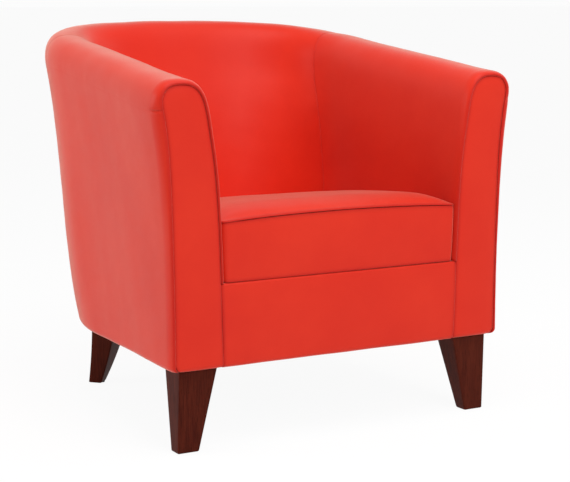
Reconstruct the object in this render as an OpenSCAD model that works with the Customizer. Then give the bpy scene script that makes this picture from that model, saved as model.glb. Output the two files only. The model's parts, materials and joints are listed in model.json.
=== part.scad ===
// Upholstered tub chair on four timber legs: frame, webbing, foam and covers.
// Millimetres. The origin is on the floor at the middle of the chair's footprint.
// The front looks toward -Y and the chair is the same on both sides of X = 0.

/* [Body] */
// Width over the side walls, low down
body_w = 722; // [660:1:760]
// Depth over all, from the arm fronts to the back of the rim
overall_d = 790; // [750:1:840]
// Height of the underside of the upholstery
base_h = 155; // [130:1:180]
// Height of the arm tops at the front
arm_h = 682; // [640:1:720]
// How much higher the rim is at the back than at the arm fronts
rim_rise = 89; // [60:1:110]

/* [Plan] */
// How far each side wall draws in from the arm front to the rear corner
side_taper = 12; // [8:0.5:14]
// Where the rear corners start at the base, behind the arm fronts
base_corner_y = 369; // [340:1:400]
// Where the rear corners start at the rim, behind the arm fronts
rim_corner_y = 477; // [450:1:505]
// How far the rim's back leans out behind the base
back_lean = 56; // [30:1:70]
// Where the rear corners of the sitting space start, behind the arm fronts
seat_corner_y = 367; // [340:1:395]
// Squareness of the rear corners at the base, 2 for an ellipse
base_square_share = 2.4; // [2:0.02:2.8]
// Squareness of the rear corners at the rim
rim_square_share = 2.52; // [2:0.02:3]
// Squareness of the rear corners of the sitting space
seat_square_share = 2.5; // [2:0.02:3]

/* [Wall and rim] */
// Thickness of the tub wall, covers included
wall_t = 112; // [100:1:122]
// How far the rim stands out past the side walls
rim_flare = 21; // [15:1:32]
// Width of the outer quarter of the rim
rim_outer_w = 48; // [40:1:56]
// Height of the outer quarter of the rim
rim_outer_h = 56; // [46:1:66]
// Height of the inner quarter of the rim
rim_inner_h = 86; // [74:1:100]
// Squareness of the rim's section: 2 is an ellipse, and more is flatter on top
rim_section_share = 2.6; // [2:0.05:2.8]
// Radius of the covers where they turn onto the arm fronts
front_roll_r = 12; // [10:0.5:15]
// Radius of the outside cover where it turns under the base
base_roll_r = 12; // [10:0.5:15]

/* [Layers] */
// Thickness of the covers
cover_t = 1.5; // [1:0.1:2]
// Thickness of the wadding under the outside cover
wadding_t = 5; // [3:0.5:7]
// Thickness of the frame rails
rail_t = 25; // [20:1:28]
// Thickness of the arm front boards
board_t = 18; // [12:1:22]
// Thickness of the webbing straps
strap_t = 1.8; // [1.2:0.1:2.5]
// Thickness of the boards inside the arms
panel_t = 2; // [1.5:0.1:3]
// Thickness of the deck cloth and the dust cover
cloth_t = 0.8; // [0.5:0.1:1.2]
// Thickness of the arm facings with their backing
facing_t = 5.5; // [4:0.1:6]
// Clearance between neighbouring pieces
gap = 0.3; // [0.2:0.05:0.4]

/* [Frame] */
// Height of the bent rail under the rim
top_rail_h = 44; // [36:1:50]
// Drop from the top of the rim to the top of that rail
top_rail_drop = 61; // [58:1:70]
// How far the rear corner blocks stand inside the rear legs' outer faces
block_setback = 26; // [24:0.5:28]
// Width of each upright in the wall
upright_w = 46; // [36:1:56]
// Width of the webbing straps
strap_w = 50; // [40:1:56]
// Spacing of the straps that run front to back
long_strap_pitch = 104; // [80:1:120]
// Spacing of the straps that run side to side
cross_strap_pitch = 88; // [70:1:90]
// Height of the lowest strap in the back
back_strap_h = 410; // [390:1:430]
// Spacing of the straps in the back
back_strap_pitch = 84; // [70:1:90]
// Height of the corner blocks
block_h = 40; // [32:1:50]

/* [Seat] */
// Height of the seam between the seat border and the front rail cover
rail_seam_h = 312; // [309:1:318]
// Height of the seat's front seam at its ends
seat_corner_h = 421; // [405:1:435]
// How much higher that seam is in the middle
seat_front_arch = 8; // [0:0.5:12]
// Height of the seat's edge at the back
seat_back_h = 388; // [378:1:400]
// Crown of the seat over its edges
seat_crown = 14; // [6:0.5:18]
// Radius of the seat's top edge
seat_edge_r = 9; // [6:0.5:12]
// How far the sides of the seat block draw in at the top and bottom
seat_draw_in = 4; // [2:0.5:6]
// Setback of the seat border and rail cover behind the arm fronts
front_setback = 3; // [2:0.25:4]

/* [Legs] */
// Width of a front leg at the top
front_leg_w = 76; // [66:1:84]
// Depth of a front leg at the top
front_leg_d = 50; // [44:1:58]
// Width of a front leg at the floor
front_foot_w = 37; // [32:1:44]
// Depth of a front leg at the floor
front_foot_d = 34; // [28:1:40]
// Inset of the front legs from the side walls
leg_side_inset = 21; // [17:0.5:25]
// Inset of the front legs from the arm fronts
leg_front_inset = 13; // [9:0.5:17]
// Width of a rear leg at the top, along the wall
rear_leg_w = 76; // [66:1:84]
// Depth of a rear leg at the top
rear_leg_d = 50; // [44:1:56]
// Width of a rear leg at the floor
rear_foot_w = 29; // [25:1:36]
// Depth of a rear leg at the floor
rear_foot_d = 32; // [28:1:38]
// How far a rear foot sweeps out past the top of its leg
rear_leg_sweep = 8; // [4:0.5:12]
// Distance of the rear legs' outer top corners in from the side walls
rear_leg_side_inset = 101; // [97:0.5:107]
// Inset of those corners from the back wall, along the depth
rear_leg_back_inset = 24.1; // [20:0.1:28]
// Turn of the rear legs, which follows the wall
rear_leg_angle = 38; // [34:0.5:42]
// Clearance of the timber above the floor
foot_lift = 1; // [0.5:0.1:1.5]

/* [Fasteners] */
// Diameter of the glides
glide_d = 18; // [14:0.5:22]
// Thickness of the glides
glide_t = 3; // [2.5:0.1:4]
// Diameter of the leg bolts
bolt_d = 8; // [6:0.5:8]
// Depth of the leg bolts in the legs
bolt_depth = 40; // [30:1:50]
// Diameter of the T-nut flanges
nut_d = 20; // [18:0.5:24]
// Thickness of the T-nut flanges
nut_t = 2; // [1.5:0.1:2.5]
// Height of the leg bolts above their T-nuts
bolt_over = 3; // [1:0.5:6]

/* [Hidden] */

COVER_RED = [0.84, 0.25, 0.20];
FACING_RED = [0.80, 0.22, 0.17];
LEG_BROWN = [0.25, 0.10, 0.07];
FOAM_CREAM = [0.93, 0.88, 0.72];
BEECH = [0.80, 0.62, 0.42];
STRAP_BLACK = [0.16, 0.16, 0.17];
CLOTH_BLACK = [0.10, 0.10, 0.11];
WADDING_WHITE = [0.92, 0.92, 0.90];
STEEL = [0.62, 0.63, 0.65];

// Part of the half plan that is the straight side, the rest is the rear corner and the back
side_share = 0.4;
// Place of the seam between the inside arm and the inside back, in the same measure
arm_seam_share = 0.5;
// Place of the joint between the arm top rails and the back top rail
rail_joint_share = 0.47;
// How quickly the base tucks in, against an even lean
tuck_share = 0.5;
// Powers of the curves of the flare, the tuck, the inside lean and the seat's fall
flare_power_share = 3.7;
tuck_power_share = 6;
lean_power_share = 5;
fall_power_share = 1.6;
// Part of the inside lean that is even
even_lean_share = 0.45;
// Step of the finite difference that finds a curve's direction
slope_step_share = 0.002;
// Heights of the outside wall's points, with the turn under the base
wall_shares = [0, 0.006, 0.014, 0.026, 0.1, 0.25, 0.42, 0.58, 0.72, 0.84, 0.93, 1];
// Heights of the inside wall's points, from the rim down
inner_shares = [0.93, 0.84, 0.72, 0.56, 0.38, 0.2, 0];
// Levels of the back of the wall foam, which are those of the outside wall and one more
foam_back_shares = [0.93, 0.84, 0.72, 0.58, 0.42, 0.36];
// Places along a straight side and along a rear quarter
side_steps_share = [0.2, 0.6];
corner_steps_share = [0, 0.09, 0.18, 0.28, 0.38, 0.48, 0.6, 0.72, 0.86];
// Angles round the rim, from the outside to the inside
rim_angles = [0, 22, 44, 66, 90, 112, 134, 157, 180];
// Angles of a cover's turn onto the arm front
roll_angles = [90, 60, 30];
// Rings of the seat's crown as parts of the way from the middle to the edge
crown_shares = [0.9, 0.72, 0.5, 0.26];
// Levels of the rear legs, where the inner side draws in between two of them
leg_level_shares = [0, 0.1, 0.2, 0.3, 0.4, 0.5, 0.6, 0.7, 0.8, 1];
leg_draw_start_share = 0.1;
leg_draw_end_share = 0.76;
// Centre of the seat's crown and centres of the wall's uprights, as parts of a half plan
crown_centre_share = 0.48;
upright_shares = [0.36, 0.62, 0.87];
// Places of the leg bolts across the legs' tops
front_bolt_x_share = 0.58;
front_bolt_y_share = 0.36;
rear_bolt_share = 0.72;
// Width of a rear corner block against its leg
rear_block_share = 1.15;
// Part of a rail's thickness on which a strap's end lies
strap_end_share = 0.33;
// Levels of the seat block's drawn-in sides: its middle, and points below and above it
foam_middle_share = 0.5;
foam_low_share = 0.5;
foam_high_share = 0.7;
// Part of the drawn-in width by which the top cover's lower edge draws in
skirt_draw_share = 0.25;
// Levels of the seat border
border_level_shares = [0, 0.15, 0.4, 0.7, 0.9, 1];
// How far rows of points keep from the end of a piece, in the plan's measure
row_margin_share = 0.008;

long_strap_count = 4;
cross_strap_count = 4;
back_strap_count = 3;
border_steps = 8;
strap_steps = 5;

half_w = body_w / 2;
base_d = overall_d - rim_flare - back_lean;
rim_d = overall_d - rim_flare;
seat_half_w = half_w - wall_t;
seat_d = base_d - wall_t;
rim_inner_w = wall_t - rim_outer_w;
y_shift = -overall_d / 2;
// Overrun of the cuts
cut = 1;
wadding_in = cover_t + gap;
frame_in = wadding_in + wadding_t + gap;
frame_back = frame_in + rail_t;
panel_in = frame_back + gap;
back_strap_in = panel_in + gap;
foam_back = max(panel_in + panel_t, back_strap_in + strap_t) + gap;
facing_in = front_roll_r + gap;
facing_y = front_setback - cover_t / 2;
board_y = facing_y + facing_t + gap;
board_back = board_y + board_t + gap;
wall_start = board_back + gap;
rail_bottom = base_h + 2 * cover_t + gap;
foam_bottom = rail_seam_h + gap;
deck_z = rail_seam_h - cloth_t;
cross_strap_z = deck_z - gap - strap_t;
long_strap_z = cross_strap_z - gap - strap_t;
rail_top_h = long_strap_z - gap;
front_board_y = front_setback + cover_t + gap + wadding_t + gap;
rail_half_w = seat_half_w + facing_in - gap;
leg_x = half_w - leg_side_inset;
rear_leg_x = half_w - rear_leg_side_inset;
block_top = rail_bottom + block_h;
bolt_clear = bolt_d + gap + gap;
glide_recess = glide_t - foot_lift + gap;

function mix(a, b, s) = a + (b - a) * s;
function flat(rows) = [for (r = rows) for (p = r) p];
function unit(v) = v / norm(v);

// Half plan of a U with rounded rear corners: u is 0 at the arm front and 1 at the middle of the back
function u_plan(u, half, corner, depth, square) =
  u < side_share
    ? [half - side_taper * u / side_share, mix(front_roll_r, corner, u / side_share)]
    : let (a = 90 * (u - side_share) / (1 - side_share))
      [(half - side_taper) * pow(max(cos(a), 0), 2 / square),
       corner + (depth - corner) * pow(max(sin(a), 0), 2 / square)];

// Plan of the outside wall at lean share m, 0 at the base and 1 at the rim
function wall_plan(u, m) = u_plan(u, half_w, mix(base_corner_y, rim_corner_y, m),
  mix(base_d, rim_d, m), mix(base_square_share, rim_square_share, m));
function seat_plan(u) = u_plan(u, seat_half_w, seat_corner_y, seat_d, seat_square_share);

// Outward directions of the plans, square to the middle plane at the arm fronts
function away(before, after) = let (d = unit(after - before)) [d[1], -d[0]];
function wall_normal(u, m) = u < slope_step_share ? [1, 0] : u > 1 - slope_step_share ? [0, 1]
  : away(wall_plan(u - slope_step_share, m), wall_plan(u + slope_step_share, m));
function seat_normal(u) = u < slope_step_share ? [1, 0] : u > 1 - slope_step_share ? [0, 1]
  : away(seat_plan(u - slope_step_share), seat_plan(u + slope_step_share));

// The rim climbs evenly from the arm fronts to the back
function apex_z(u) = arm_h + rim_rise * (wall_plan(u, 1)[1] - front_roll_r) / (rim_d - front_roll_r);
function lean_at(v) = tuck_share * (1 - pow(1 - v, tuck_power_share)) + (1 - tuck_share) * v;
function under_turn(h, r) = r <= 0 || h >= r ? 0 : r - sqrt(r * r - pow(r - max(h, 0), 2));

// Points are given by w, from -1 at the left arm front through 0 at the back to 1 at the right,
// and by t, the depth below the finished surface
function side_of(w) = w < 0 ? -1 : 1;
function along(w) = min(1 - abs(w), 1);
function place(w, p, z) = [side_of(w) * max(p[0], 0), p[1] + y_shift, z];

// The outside wall is faceted between these places and levels, so that every layer in it runs parallel
u_knots = concat([for (s = concat([0], side_steps_share)) s * side_share],
  [for (s = corner_steps_share) side_share + (1 - side_share) * s], [1]);
function knot_at(knots, x) = min(max(len([for (k = knots) if (k <= x) 1]) - 1, 0), len(knots) - 2);
function wall_knot(u, v, t) =
  let (m = lean_at(v)) wall_plan(u, m) + wall_normal(u, m) * (rim_flare * pow(v, flare_power_share) - t);

// Height of the top of the outside wall, where the rim starts
function wall_top(u) =
  let (i = knot_at(u_knots, u), u0 = u_knots[i], u1 = u_knots[i + 1])
  mix(apex_z(u0), apex_z(u1), (u - u0) / (u1 - u0)) - rim_outer_h;

function outer_pt(w, z, t) =
  let (u = along(w), i = knot_at(u_knots, u), u0 = u_knots[i], u1 = u_knots[i + 1], fu = (u - u0) / (u1 - u0),
       v = min(max((z - base_h) / (wall_top(u) - base_h), 0), 1),
       j = knot_at(wall_shares, v), v0 = wall_shares[j], v1 = wall_shares[j + 1], fv = (v - v0) / (v1 - v0),
       low = mix(wall_knot(u0, v0, t), wall_knot(u1, v0, t), fu),
       high = mix(wall_knot(u0, v1, t), wall_knot(u1, v1, t), fu),
       turned = under_turn(z - base_h - t, base_roll_r - t))
  place(w, mix(low, high, fv) - wall_normal(u, 0) * turned, z);

function section_share(x) = sign(x) * pow(abs(x), 2 / rim_section_share);
function rim_pt(w, a, t) =
  let (u = along(w), inner = a > 90, width = inner ? rim_inner_w : rim_outer_w,
       height = inner ? rim_inner_h : rim_outer_h,
       d = rim_flare - rim_outer_w + (width - t) * section_share(cos(a)),
       z = apex_z(u) - height + (height - t) * section_share(sin(a)))
  place(w, wall_plan(u, 1) + wall_normal(u, 1) * d, z);

function inner_pt(w, z, t) =
  let (u = along(w), v = min(max((z - base_h) / (apex_z(u) - rim_inner_h - base_h), 0), 1),
       m = even_lean_share * v + (1 - even_lean_share) * pow(v, lean_power_share),
       top = wall_plan(u, 1) + wall_normal(u, 1) * (rim_flare - wall_t))
  place(w, mix(seat_plan(u), top, m) + seat_normal(u) * t, z);

// A cover turns onto the arm front: the angle is 0 along the wall and 90 on the front
function rolled(p, r, a) = p - [0, r * sin(a), 0];

// Rows of a piece that runs from w0 to w1, as [w, roll angle] pairs
function w_list(w0, w1) =
  let (left = [for (s = side_steps_share) -1 + s * side_share],
       back = [for (s = corner_steps_share) -(1 - side_share) * (1 - s)],
       all = concat(left, back, [0], [for (i = [len(back) - 1:-1:0]) -back[i]],
                    [for (i = [len(left) - 1:-1:0]) -left[i]]),
       margin = row_margin_share)
  concat([w0], [for (w = all) if (w > w0 + margin && w < w1 - margin) w], [w1]);
function roll_rows(w0, w1) = concat(
  w0 == -1 ? [for (a = roll_angles) [-1, a]] : [],
  [for (w = w_list(w0, w1)) [w, 0]],
  w1 == 1 ? [for (i = [len(roll_angles) - 1:-1:0]) [1, roll_angles[i]]] : []);

// Share of the half plan that a short length takes on the straight side
function side_u(y) = side_share * (y - front_roll_r) / (base_corner_y - front_roll_r);
function wall_share(length) = length / (overall_d + half_w);

// Closed slab between two grids of points, where b lies behind a
module slab(a, b) {
  m = len(a);
  n = len(a[0]);
  function at(i, j) = i * n + j;
  function back(i, j) = m * n + i * n + j;
  function quad(p, q, r, s) = [[p, q, r], [p, r, s]];
  function left(i) = a[i][0][0] + a[i + 1][0][0] < 0;
  faces = concat(
    [for (i = [0:m - 2]) for (j = [0:n - 2]) for (f = concat(
      left(i) ? quad(at(i, j), at(i + 1, j), at(i + 1, j + 1), at(i, j + 1))
        : quad(at(i + 1, j), at(i + 1, j + 1), at(i, j + 1), at(i, j)),
      left(i) ? quad(back(i, j), back(i, j + 1), back(i + 1, j + 1), back(i + 1, j))
        : quad(back(i + 1, j), back(i, j), back(i, j + 1), back(i + 1, j + 1)))) f],
    [for (i = [0:m - 2]) for (f = concat(
      quad(at(i + 1, 0), at(i, 0), back(i, 0), back(i + 1, 0)),
      quad(at(i, n - 1), at(i + 1, n - 1), back(i + 1, n - 1), back(i, n - 1)))) f],
    [for (j = [0:n - 2]) for (f = concat(
      quad(at(0, j), at(0, j + 1), back(0, j + 1), back(0, j)),
      quad(at(m - 1, j), back(m - 1, j), back(m - 1, j + 1), at(m - 1, j + 1)))) f]);
  polyhedron(points = concat(flat(a), flat(b)), faces = faces, convexity = 8);
}

// Solid through rings of points that turn anticlockwise seen from above, lowest ring first
module loft(rings, top = undef) {
  m = len(rings);
  n = len(rings[0]);
  function at(i, j) = i * n + j % n;
  sides = [for (i = [0:m - 2]) for (j = [0:n - 1]) for (f = [
    [at(i, j), at(i + 1, j), at(i + 1, j + 1)], [at(i, j), at(i + 1, j + 1), at(i, j + 1)]]) f];
  lid = is_undef(top) ? [[for (j = [n - 1:-1:0]) at(m - 1, j)]]
    : [for (j = [0:n - 1]) [at(m - 1, j), m * n, at(m - 1, j + 1)]];
  polyhedron(points = concat(flat(rings), is_undef(top) ? [] : [top]),
    faces = concat([[for (j = [0:n - 1]) j]], sides, lid), convexity = 4);
}

// Legs

function rect_ring(x0, x1, y0, y1, z) = [[x0, y0, z], [x1, y0, z], [x1, y1, z], [x0, y1, z]];

module leg_holes(foot, bolt) {
  translate([foot[0], foot[1], 0])
    cylinder(d = glide_d + 2 * gap, h = foot_lift + glide_recess, $fn = 48);
  translate([bolt[0], bolt[1], base_h - bolt_depth - gap])
    cylinder(d = bolt_clear, h = bolt_depth + cut, $fn = 48);
}

front_foot = [leg_x - front_foot_w / 2, leg_front_inset + front_foot_d / 2 + y_shift];
front_bolt = [leg_x - front_leg_w * front_bolt_x_share,
  board_back + front_leg_d * front_bolt_y_share + y_shift];

module front_leg() {
  color(LEG_BROWN) difference() {
    loft([
      rect_ring(leg_x - front_foot_w, leg_x, leg_front_inset + y_shift,
        leg_front_inset + front_foot_d + y_shift, foot_lift),
      rect_ring(leg_x - front_leg_w, leg_x, leg_front_inset + y_shift,
        leg_front_inset + front_leg_d + y_shift, base_h)]);
    leg_holes(front_foot, front_bolt);
  }
}

// Depth of the outside wall's base at distance x from the middle
function base_wall_y(x) = base_corner_y + (base_d - base_corner_y)
  * pow(1 - pow(x / (half_w - side_taper), base_square_share), 1 / base_square_share);
rear_leg_y = base_wall_y(rear_leg_x) - rear_leg_back_inset;

// A rear leg has its own axes: e runs along the wall and f runs inward from it
function rear_pt(e, f, z) =
  let (c = cos(rear_leg_angle), s = sin(rear_leg_angle))
  [rear_leg_x - e * c - f * s, rear_leg_y + e * s - f * c + y_shift, z];
function ease(s) = let (c = min(max(s, 0), 1)) c * c * (3 - 2 * c);
function rear_ring(s) =
  let (z = mix(foot_lift, base_h, s), out = rear_leg_sweep * pow(1 - s, 2),
       drawn_share = (s - leg_draw_start_share) / (leg_draw_end_share - leg_draw_start_share),
       e = mix(rear_foot_w, rear_leg_w, ease(drawn_share)), f = mix(rear_foot_d, rear_leg_d, s))
  [rear_pt(0, -out, z), rear_pt(e, -out, z), rear_pt(e, f - out, z), rear_pt(0, f - out, z)];

rear_foot = rear_pt(rear_foot_w / 2, rear_foot_d / 2 - rear_leg_sweep, 0);
rear_bolt = rear_pt(rear_leg_w / 2, rear_leg_d * rear_bolt_share, 0);

module rear_leg() {
  color(LEG_BROWN) difference() {
    loft([for (s = leg_level_shares) rear_ring(s)]);
    leg_holes(rear_foot, rear_bolt);
  }
}

module both_sides() {
  children();
  mirror([1, 0, 0]) children();
}

module front_left_leg() mirror([1, 0, 0]) front_leg();
module front_right_leg() front_leg();
module rear_left_leg() mirror([1, 0, 0]) rear_leg();
module rear_right_leg() rear_leg();

module foot_glides() color("dimgray") both_sides() for (p = [front_foot, rear_foot])
  translate([p[0], p[1], 0]) cylinder(d = glide_d, h = glide_t, $fn = 48);

module leg_bolts() color(STEEL) both_sides() for (p = [front_bolt, rear_bolt])
  translate([p[0], p[1], base_h - bolt_depth])
    cylinder(d = bolt_d, h = bolt_depth + block_top - base_h + nut_t + bolt_over, $fn = 32);

module t_nuts() color(STEEL) both_sides() for (p = [front_bolt, rear_bolt])
  translate([p[0], p[1], block_top]) difference() {
    cylinder(d = nut_d, h = nut_t, $fn = 32);
    translate([0, 0, -cut]) cylinder(d = bolt_clear - gap, h = nut_t + 2 * cut, $fn = 32);
  }

// Frame

// A rail, strap or board in the wall, between two depths and two heights at each place
module wall_band(ws, t_out, t_in, lows, highs, steps = undef) {
  places = [0:len(ws) - 1];
  function level(i, s) = mix(base_h, wall_top(along(ws[i])), s);
  inside = [for (s = wall_shares)
    if (min([for (i = places) min(level(i, s) - lows[i], highs[i] - level(i, s))]) > cut) s];
  function heights(i) = is_undef(steps) ? concat([lows[i]], [for (s = inside) level(i, s)], [highs[i]])
    : [for (j = [0:steps]) mix(lows[i], highs[i], j / steps)];
  function face(t) = [for (i = places) [for (z = heights(i)) outer_pt(ws[i], z, t)]];
  slab(face(t_out), face(t_in));
}

module base_rail(w0, w1) {
  ws = w_list(w0, w1);
  wall_band(ws, frame_in, frame_back, [for (w = ws) rail_bottom], [for (w = ws) rail_top_h]);
}

module top_rail(w0, w1) {
  ws = w_list(w0, w1);
  highs = [for (w = ws) apex_z(along(w)) - top_rail_drop];
  wall_band(ws, frame_in, frame_back, [for (z = highs) z - top_rail_h], highs);
}

wall_w = 1 - side_u(wall_start);
joint_w = 1 - rail_joint_share;
joint_gap = wall_share(gap);

module front_rail() color(BEECH)
  translate([-rail_half_w, front_board_y + y_shift, rail_bottom])
    cube([2 * rail_half_w, rail_t, rail_top_h - rail_bottom]);
module left_side_rail() color(BEECH) base_rail(-wall_w, -joint_w - joint_gap);
module right_side_rail() color(BEECH) base_rail(joint_w + joint_gap, wall_w);
module rear_rail() color(BEECH) base_rail(-joint_w + joint_gap, joint_w - joint_gap);
module left_arm_top_rail() color(BEECH) top_rail(-wall_w, -joint_w - joint_gap);
module right_arm_top_rail() color(BEECH) top_rail(joint_w + joint_gap, wall_w);
module back_top_rail() color(BEECH) top_rail(-joint_w + joint_gap, joint_w - joint_gap);

module front_block() {
  inner = seat_half_w + front_roll_r;
  outer = half_w - side_taper - frame_back - gap;
  difference() {
    translate([inner, board_back + y_shift, rail_bottom])
      cube([outer - inner, front_leg_d, block_h]);
    translate([front_bolt[0], front_bolt[1], rail_bottom - cut])
      cylinder(d = bolt_clear, h = block_h + 2 * cut, $fn = 48);
  }
}

module rear_block() {
  e0 = rear_leg_w * (1 - rear_block_share);
  e1 = rear_leg_w * rear_block_share;
  f0 = block_setback;
  f1 = block_setback + rear_leg_d;
  difference() {
    loft([for (z = [rail_bottom, block_top])
      [rear_pt(e0, f0, z), rear_pt(e1, f0, z), rear_pt(e1, f1, z), rear_pt(e0, f1, z)]]);
    translate([rear_bolt[0], rear_bolt[1], rail_bottom - cut])
      cylinder(d = bolt_clear, h = block_h + 2 * cut, $fn = 48);
  }
}

module corner_blocks() color(BEECH) both_sides() {
  front_block();
  rear_block();
}

// Section of an arm at its front, t inside the finished outline, as [x, z] points
function arm_outline(t) =
  let (outer = [for (s = wall_shares) outer_pt(1, mix(base_h, apex_z(0) - rim_outer_h, s), t)],
       rim = [for (a = rim_angles) if (a > 0 && a < 180) rim_pt(1, a, t)],
       inner = [for (s = inner_shares) inner_pt(1, mix(base_h, apex_z(0) - rim_inner_h, s), t)])
  [for (p = concat(outer, rim, [inner_pt(1, apex_z(0) - rim_inner_h, t)], inner)) [p[0], p[2]]];

module arm_plate(t, y, thickness, bottom) {
  intersection() {
    translate([0, y + thickness + y_shift, 0]) rotate([90, 0, 0])
      linear_extrude(thickness) polygon(arm_outline(t));
    translate([0, y + y_shift - cut, bottom]) cube([overall_d, thickness + 2 * cut, arm_h]);
  }
}

module arm_board() color(BEECH) arm_plate(facing_in, board_y, board_t, rail_bottom);
module right_arm_board() arm_board();
module left_arm_board() mirror([1, 0, 0]) arm_board();

upright_half = wall_share(upright_w) / 2;
module wall_uprights() color(BEECH) for (side = [-1, 1]) for (u = upright_shares) {
  c = side * (1 - u);
  ws = [c - upright_half, c, c + upright_half];
  wall_band(ws, frame_in, frame_back, [for (w = ws) rail_top_h + gap],
    [for (w = ws) apex_z(along(w)) - top_rail_drop - top_rail_h - gap]);
}

module arm_panel(w0, w1) {
  ws = w_list(w0, w1);
  wall_band(ws, panel_in, panel_in + panel_t,
    [for (w = ws) foam_bottom], [for (w = ws) apex_z(along(w)) - top_rail_drop]);
}
module left_arm_panel() color(BEECH) arm_panel(-wall_w, -joint_w - joint_gap);
module right_arm_panel() color(BEECH) arm_panel(joint_w + joint_gap, wall_w);

// Webbing and cloths

// Depth of the base rail's inner face at distance x from the middle
function rear_face_y(x) =
  let (m = lean_at((rail_top_h - base_h) / (apex_z(1) - rim_outer_h - base_h)),
       corner = mix(base_corner_y, rim_corner_y, m), depth = mix(base_d, rim_d, m) - frame_back,
       square = mix(base_square_share, rim_square_share, m), half = half_w - side_taper - frame_back)
  corner + (depth - corner) * pow(1 - pow(min(abs(x) / half, 1), square), 1 / square);

// Place of a strap among its neighbours, counted from the middle of the row
function from_middle(i, count) = i - (count - 1) / 2;
strap_end = rail_t * strap_end_share;

module seat_webbing_long() color(STRAP_BLACK) for (i = [0:long_strap_count - 1]) {
  x = from_middle(i, long_strap_count) * long_strap_pitch;
  y0 = front_board_y + rail_t - strap_end;
  y1 = rear_face_y(abs(x) + strap_w / 2) + strap_end;
  translate([x - strap_w / 2, y0 + y_shift, long_strap_z]) cube([strap_w, y1 - y0, strap_t]);
}

strap_half = half_w - side_taper - frame_back + strap_end;
module seat_webbing_cross() color(STRAP_BLACK) for (i = [0:cross_strap_count - 1]) {
  y = (base_corner_y + board_back) / 2 + from_middle(i, cross_strap_count) * cross_strap_pitch;
  translate([-strap_half, y - strap_w / 2 + y_shift, cross_strap_z]) cube([2 * strap_half, strap_w, strap_t]);
}

module back_webbing() color(STRAP_BLACK) for (i = [0:back_strap_count - 1]) {
  ws = w_list(-joint_w + joint_gap, joint_w - joint_gap);
  low = back_strap_h + i * back_strap_pitch;
  wall_band(ws, back_strap_in, back_strap_in + strap_t,
    [for (w = ws) low], [for (w = ws) low + strap_w], strap_steps);
}

// Closed plan outline of the sitting space, anticlockwise, t outside it, with its front at y
function seat_loop(t, y) =
  let (ws = w_list(-1, 1),
       back = [for (i = [len(ws) - 1:-1:0]) inner_pt(ws[i], rail_seam_h, t)],
       half = back[0][0], steps = len(crown_shares))
  concat([for (p = back) if (p[1] > y + y_shift) [p[0], p[1]]],
         [for (i = [0:steps]) [-half * (1 - 2 * i / steps), y + y_shift]]);

module deck_cloth() color(CLOTH_BLACK) translate([0, 0, deck_z])
  linear_extrude(cloth_t) polygon(seat_loop(-gap, front_setback + front_roll_r + gap));

module dust_cover() color(CLOTH_BLACK) translate([0, 0, base_h + gap]) difference() {
  ws = w_list(-wall_w, wall_w);
  rim = [for (w = ws) let (p = outer_pt(w, base_h, base_roll_r + gap)) [p[0], p[1]]];
  linear_extrude(cloth_t) polygon(rim);
  both_sides() for (p = [front_bolt, rear_bolt])
    translate([p[0], p[1], -cut]) cylinder(d = bolt_clear, h = cloth_t + 2 * cut, $fn = 48);
}

// Foam and wadding

// Wall foam runs over the top rail: the front grid is under the cover and the back one on the frame
module wall_foam(w0, w1) {
  ws = w_list(w0, w1);
  t = cover_t + gap;
  n = len(rim_angles);
  front = [for (w = ws) let (u = along(w), top = apex_z(u) - rim_inner_h) concat(
    [for (a = rim_angles) rim_pt(w, a, t)],
    [for (s = inner_shares) inner_pt(w, mix(foam_bottom, top, s), t)])];
  back = [for (w = ws) let (u = along(w), top = apex_z(u) - top_rail_drop + gap) concat(
    [for (i = [0:n - 1]) outer_pt(w, top, mix(frame_in, foam_back, i / (n - 1)))],
    [for (s = foam_back_shares) outer_pt(w, mix(base_h, wall_top(u), s), foam_back)],
    [outer_pt(w, foam_bottom, foam_back)])];
  slab(front, back);
}

seam_w = 1 - arm_seam_share;
seam_gap = wall_share(gap + gap);
module back_foam() color(FOAM_CREAM) wall_foam(-seam_w + seam_gap, seam_w - seam_gap);
module left_arm_foam() color(FOAM_CREAM) wall_foam(-wall_w, -seam_w - seam_gap);
module right_arm_foam() color(FOAM_CREAM) wall_foam(seam_w + seam_gap, wall_w);

module outside_wadding() color(WADDING_WHITE) {
  ws = w_list(-wall_w, wall_w);
  wall_band(ws, wadding_in, wadding_in + wadding_t, [for (w = ws) base_h + base_roll_r],
    [for (w = ws) apex_z(along(w)) - top_rail_drop - cover_t]);
}

module front_wadding() color(WADDING_WHITE)
  translate([-rail_half_w, front_setback + cover_t + gap + y_shift, base_h + front_roll_r])
    cube([2 * rail_half_w, wadding_t, rail_seam_h - base_h - 2 * front_roll_r]);

// Covers

module outside_cover() {
  rows = roll_rows(-1, 1);
  function column(w, a, t) =
    let (r = front_roll_r - t, inset = front_roll_r - r * cos(a), top = apex_z(along(w)) - rim_outer_h - gap)
    [for (s = wall_shares) rolled(outer_pt(w, mix(base_h + t, top, s), inset), r, a)];
  color(COVER_RED) slab([for (r = rows) column(r[0], r[1], 0)], [for (r = rows) column(r[0], r[1], cover_t)]);
}

module inside_cover(w0, w1) {
  rows = roll_rows(w0, w1);
  function column(w, a, t) =
    let (r = front_roll_r - t, inset = front_roll_r - r * cos(a), top = apex_z(along(w)) - rim_inner_h)
    concat([for (b = rim_angles) rolled(rim_pt(w, b, inset), r, a)],
           [for (s = inner_shares) rolled(inner_pt(w, mix(foam_bottom, top, s), inset), r, a)]);
  slab([for (r = rows) column(r[0], r[1], 0)], [for (r = rows) column(r[0], r[1], cover_t)]);
}
cover_seam_gap = wall_share(gap) / 2;
module inside_back_cover() color(COVER_RED) inside_cover(-seam_w + cover_seam_gap, seam_w - cover_seam_gap);
module left_inside_arm_cover() color(COVER_RED) inside_cover(-1, -seam_w - cover_seam_gap);
module right_inside_arm_cover() color(COVER_RED) inside_cover(seam_w + cover_seam_gap, 1);

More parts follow.
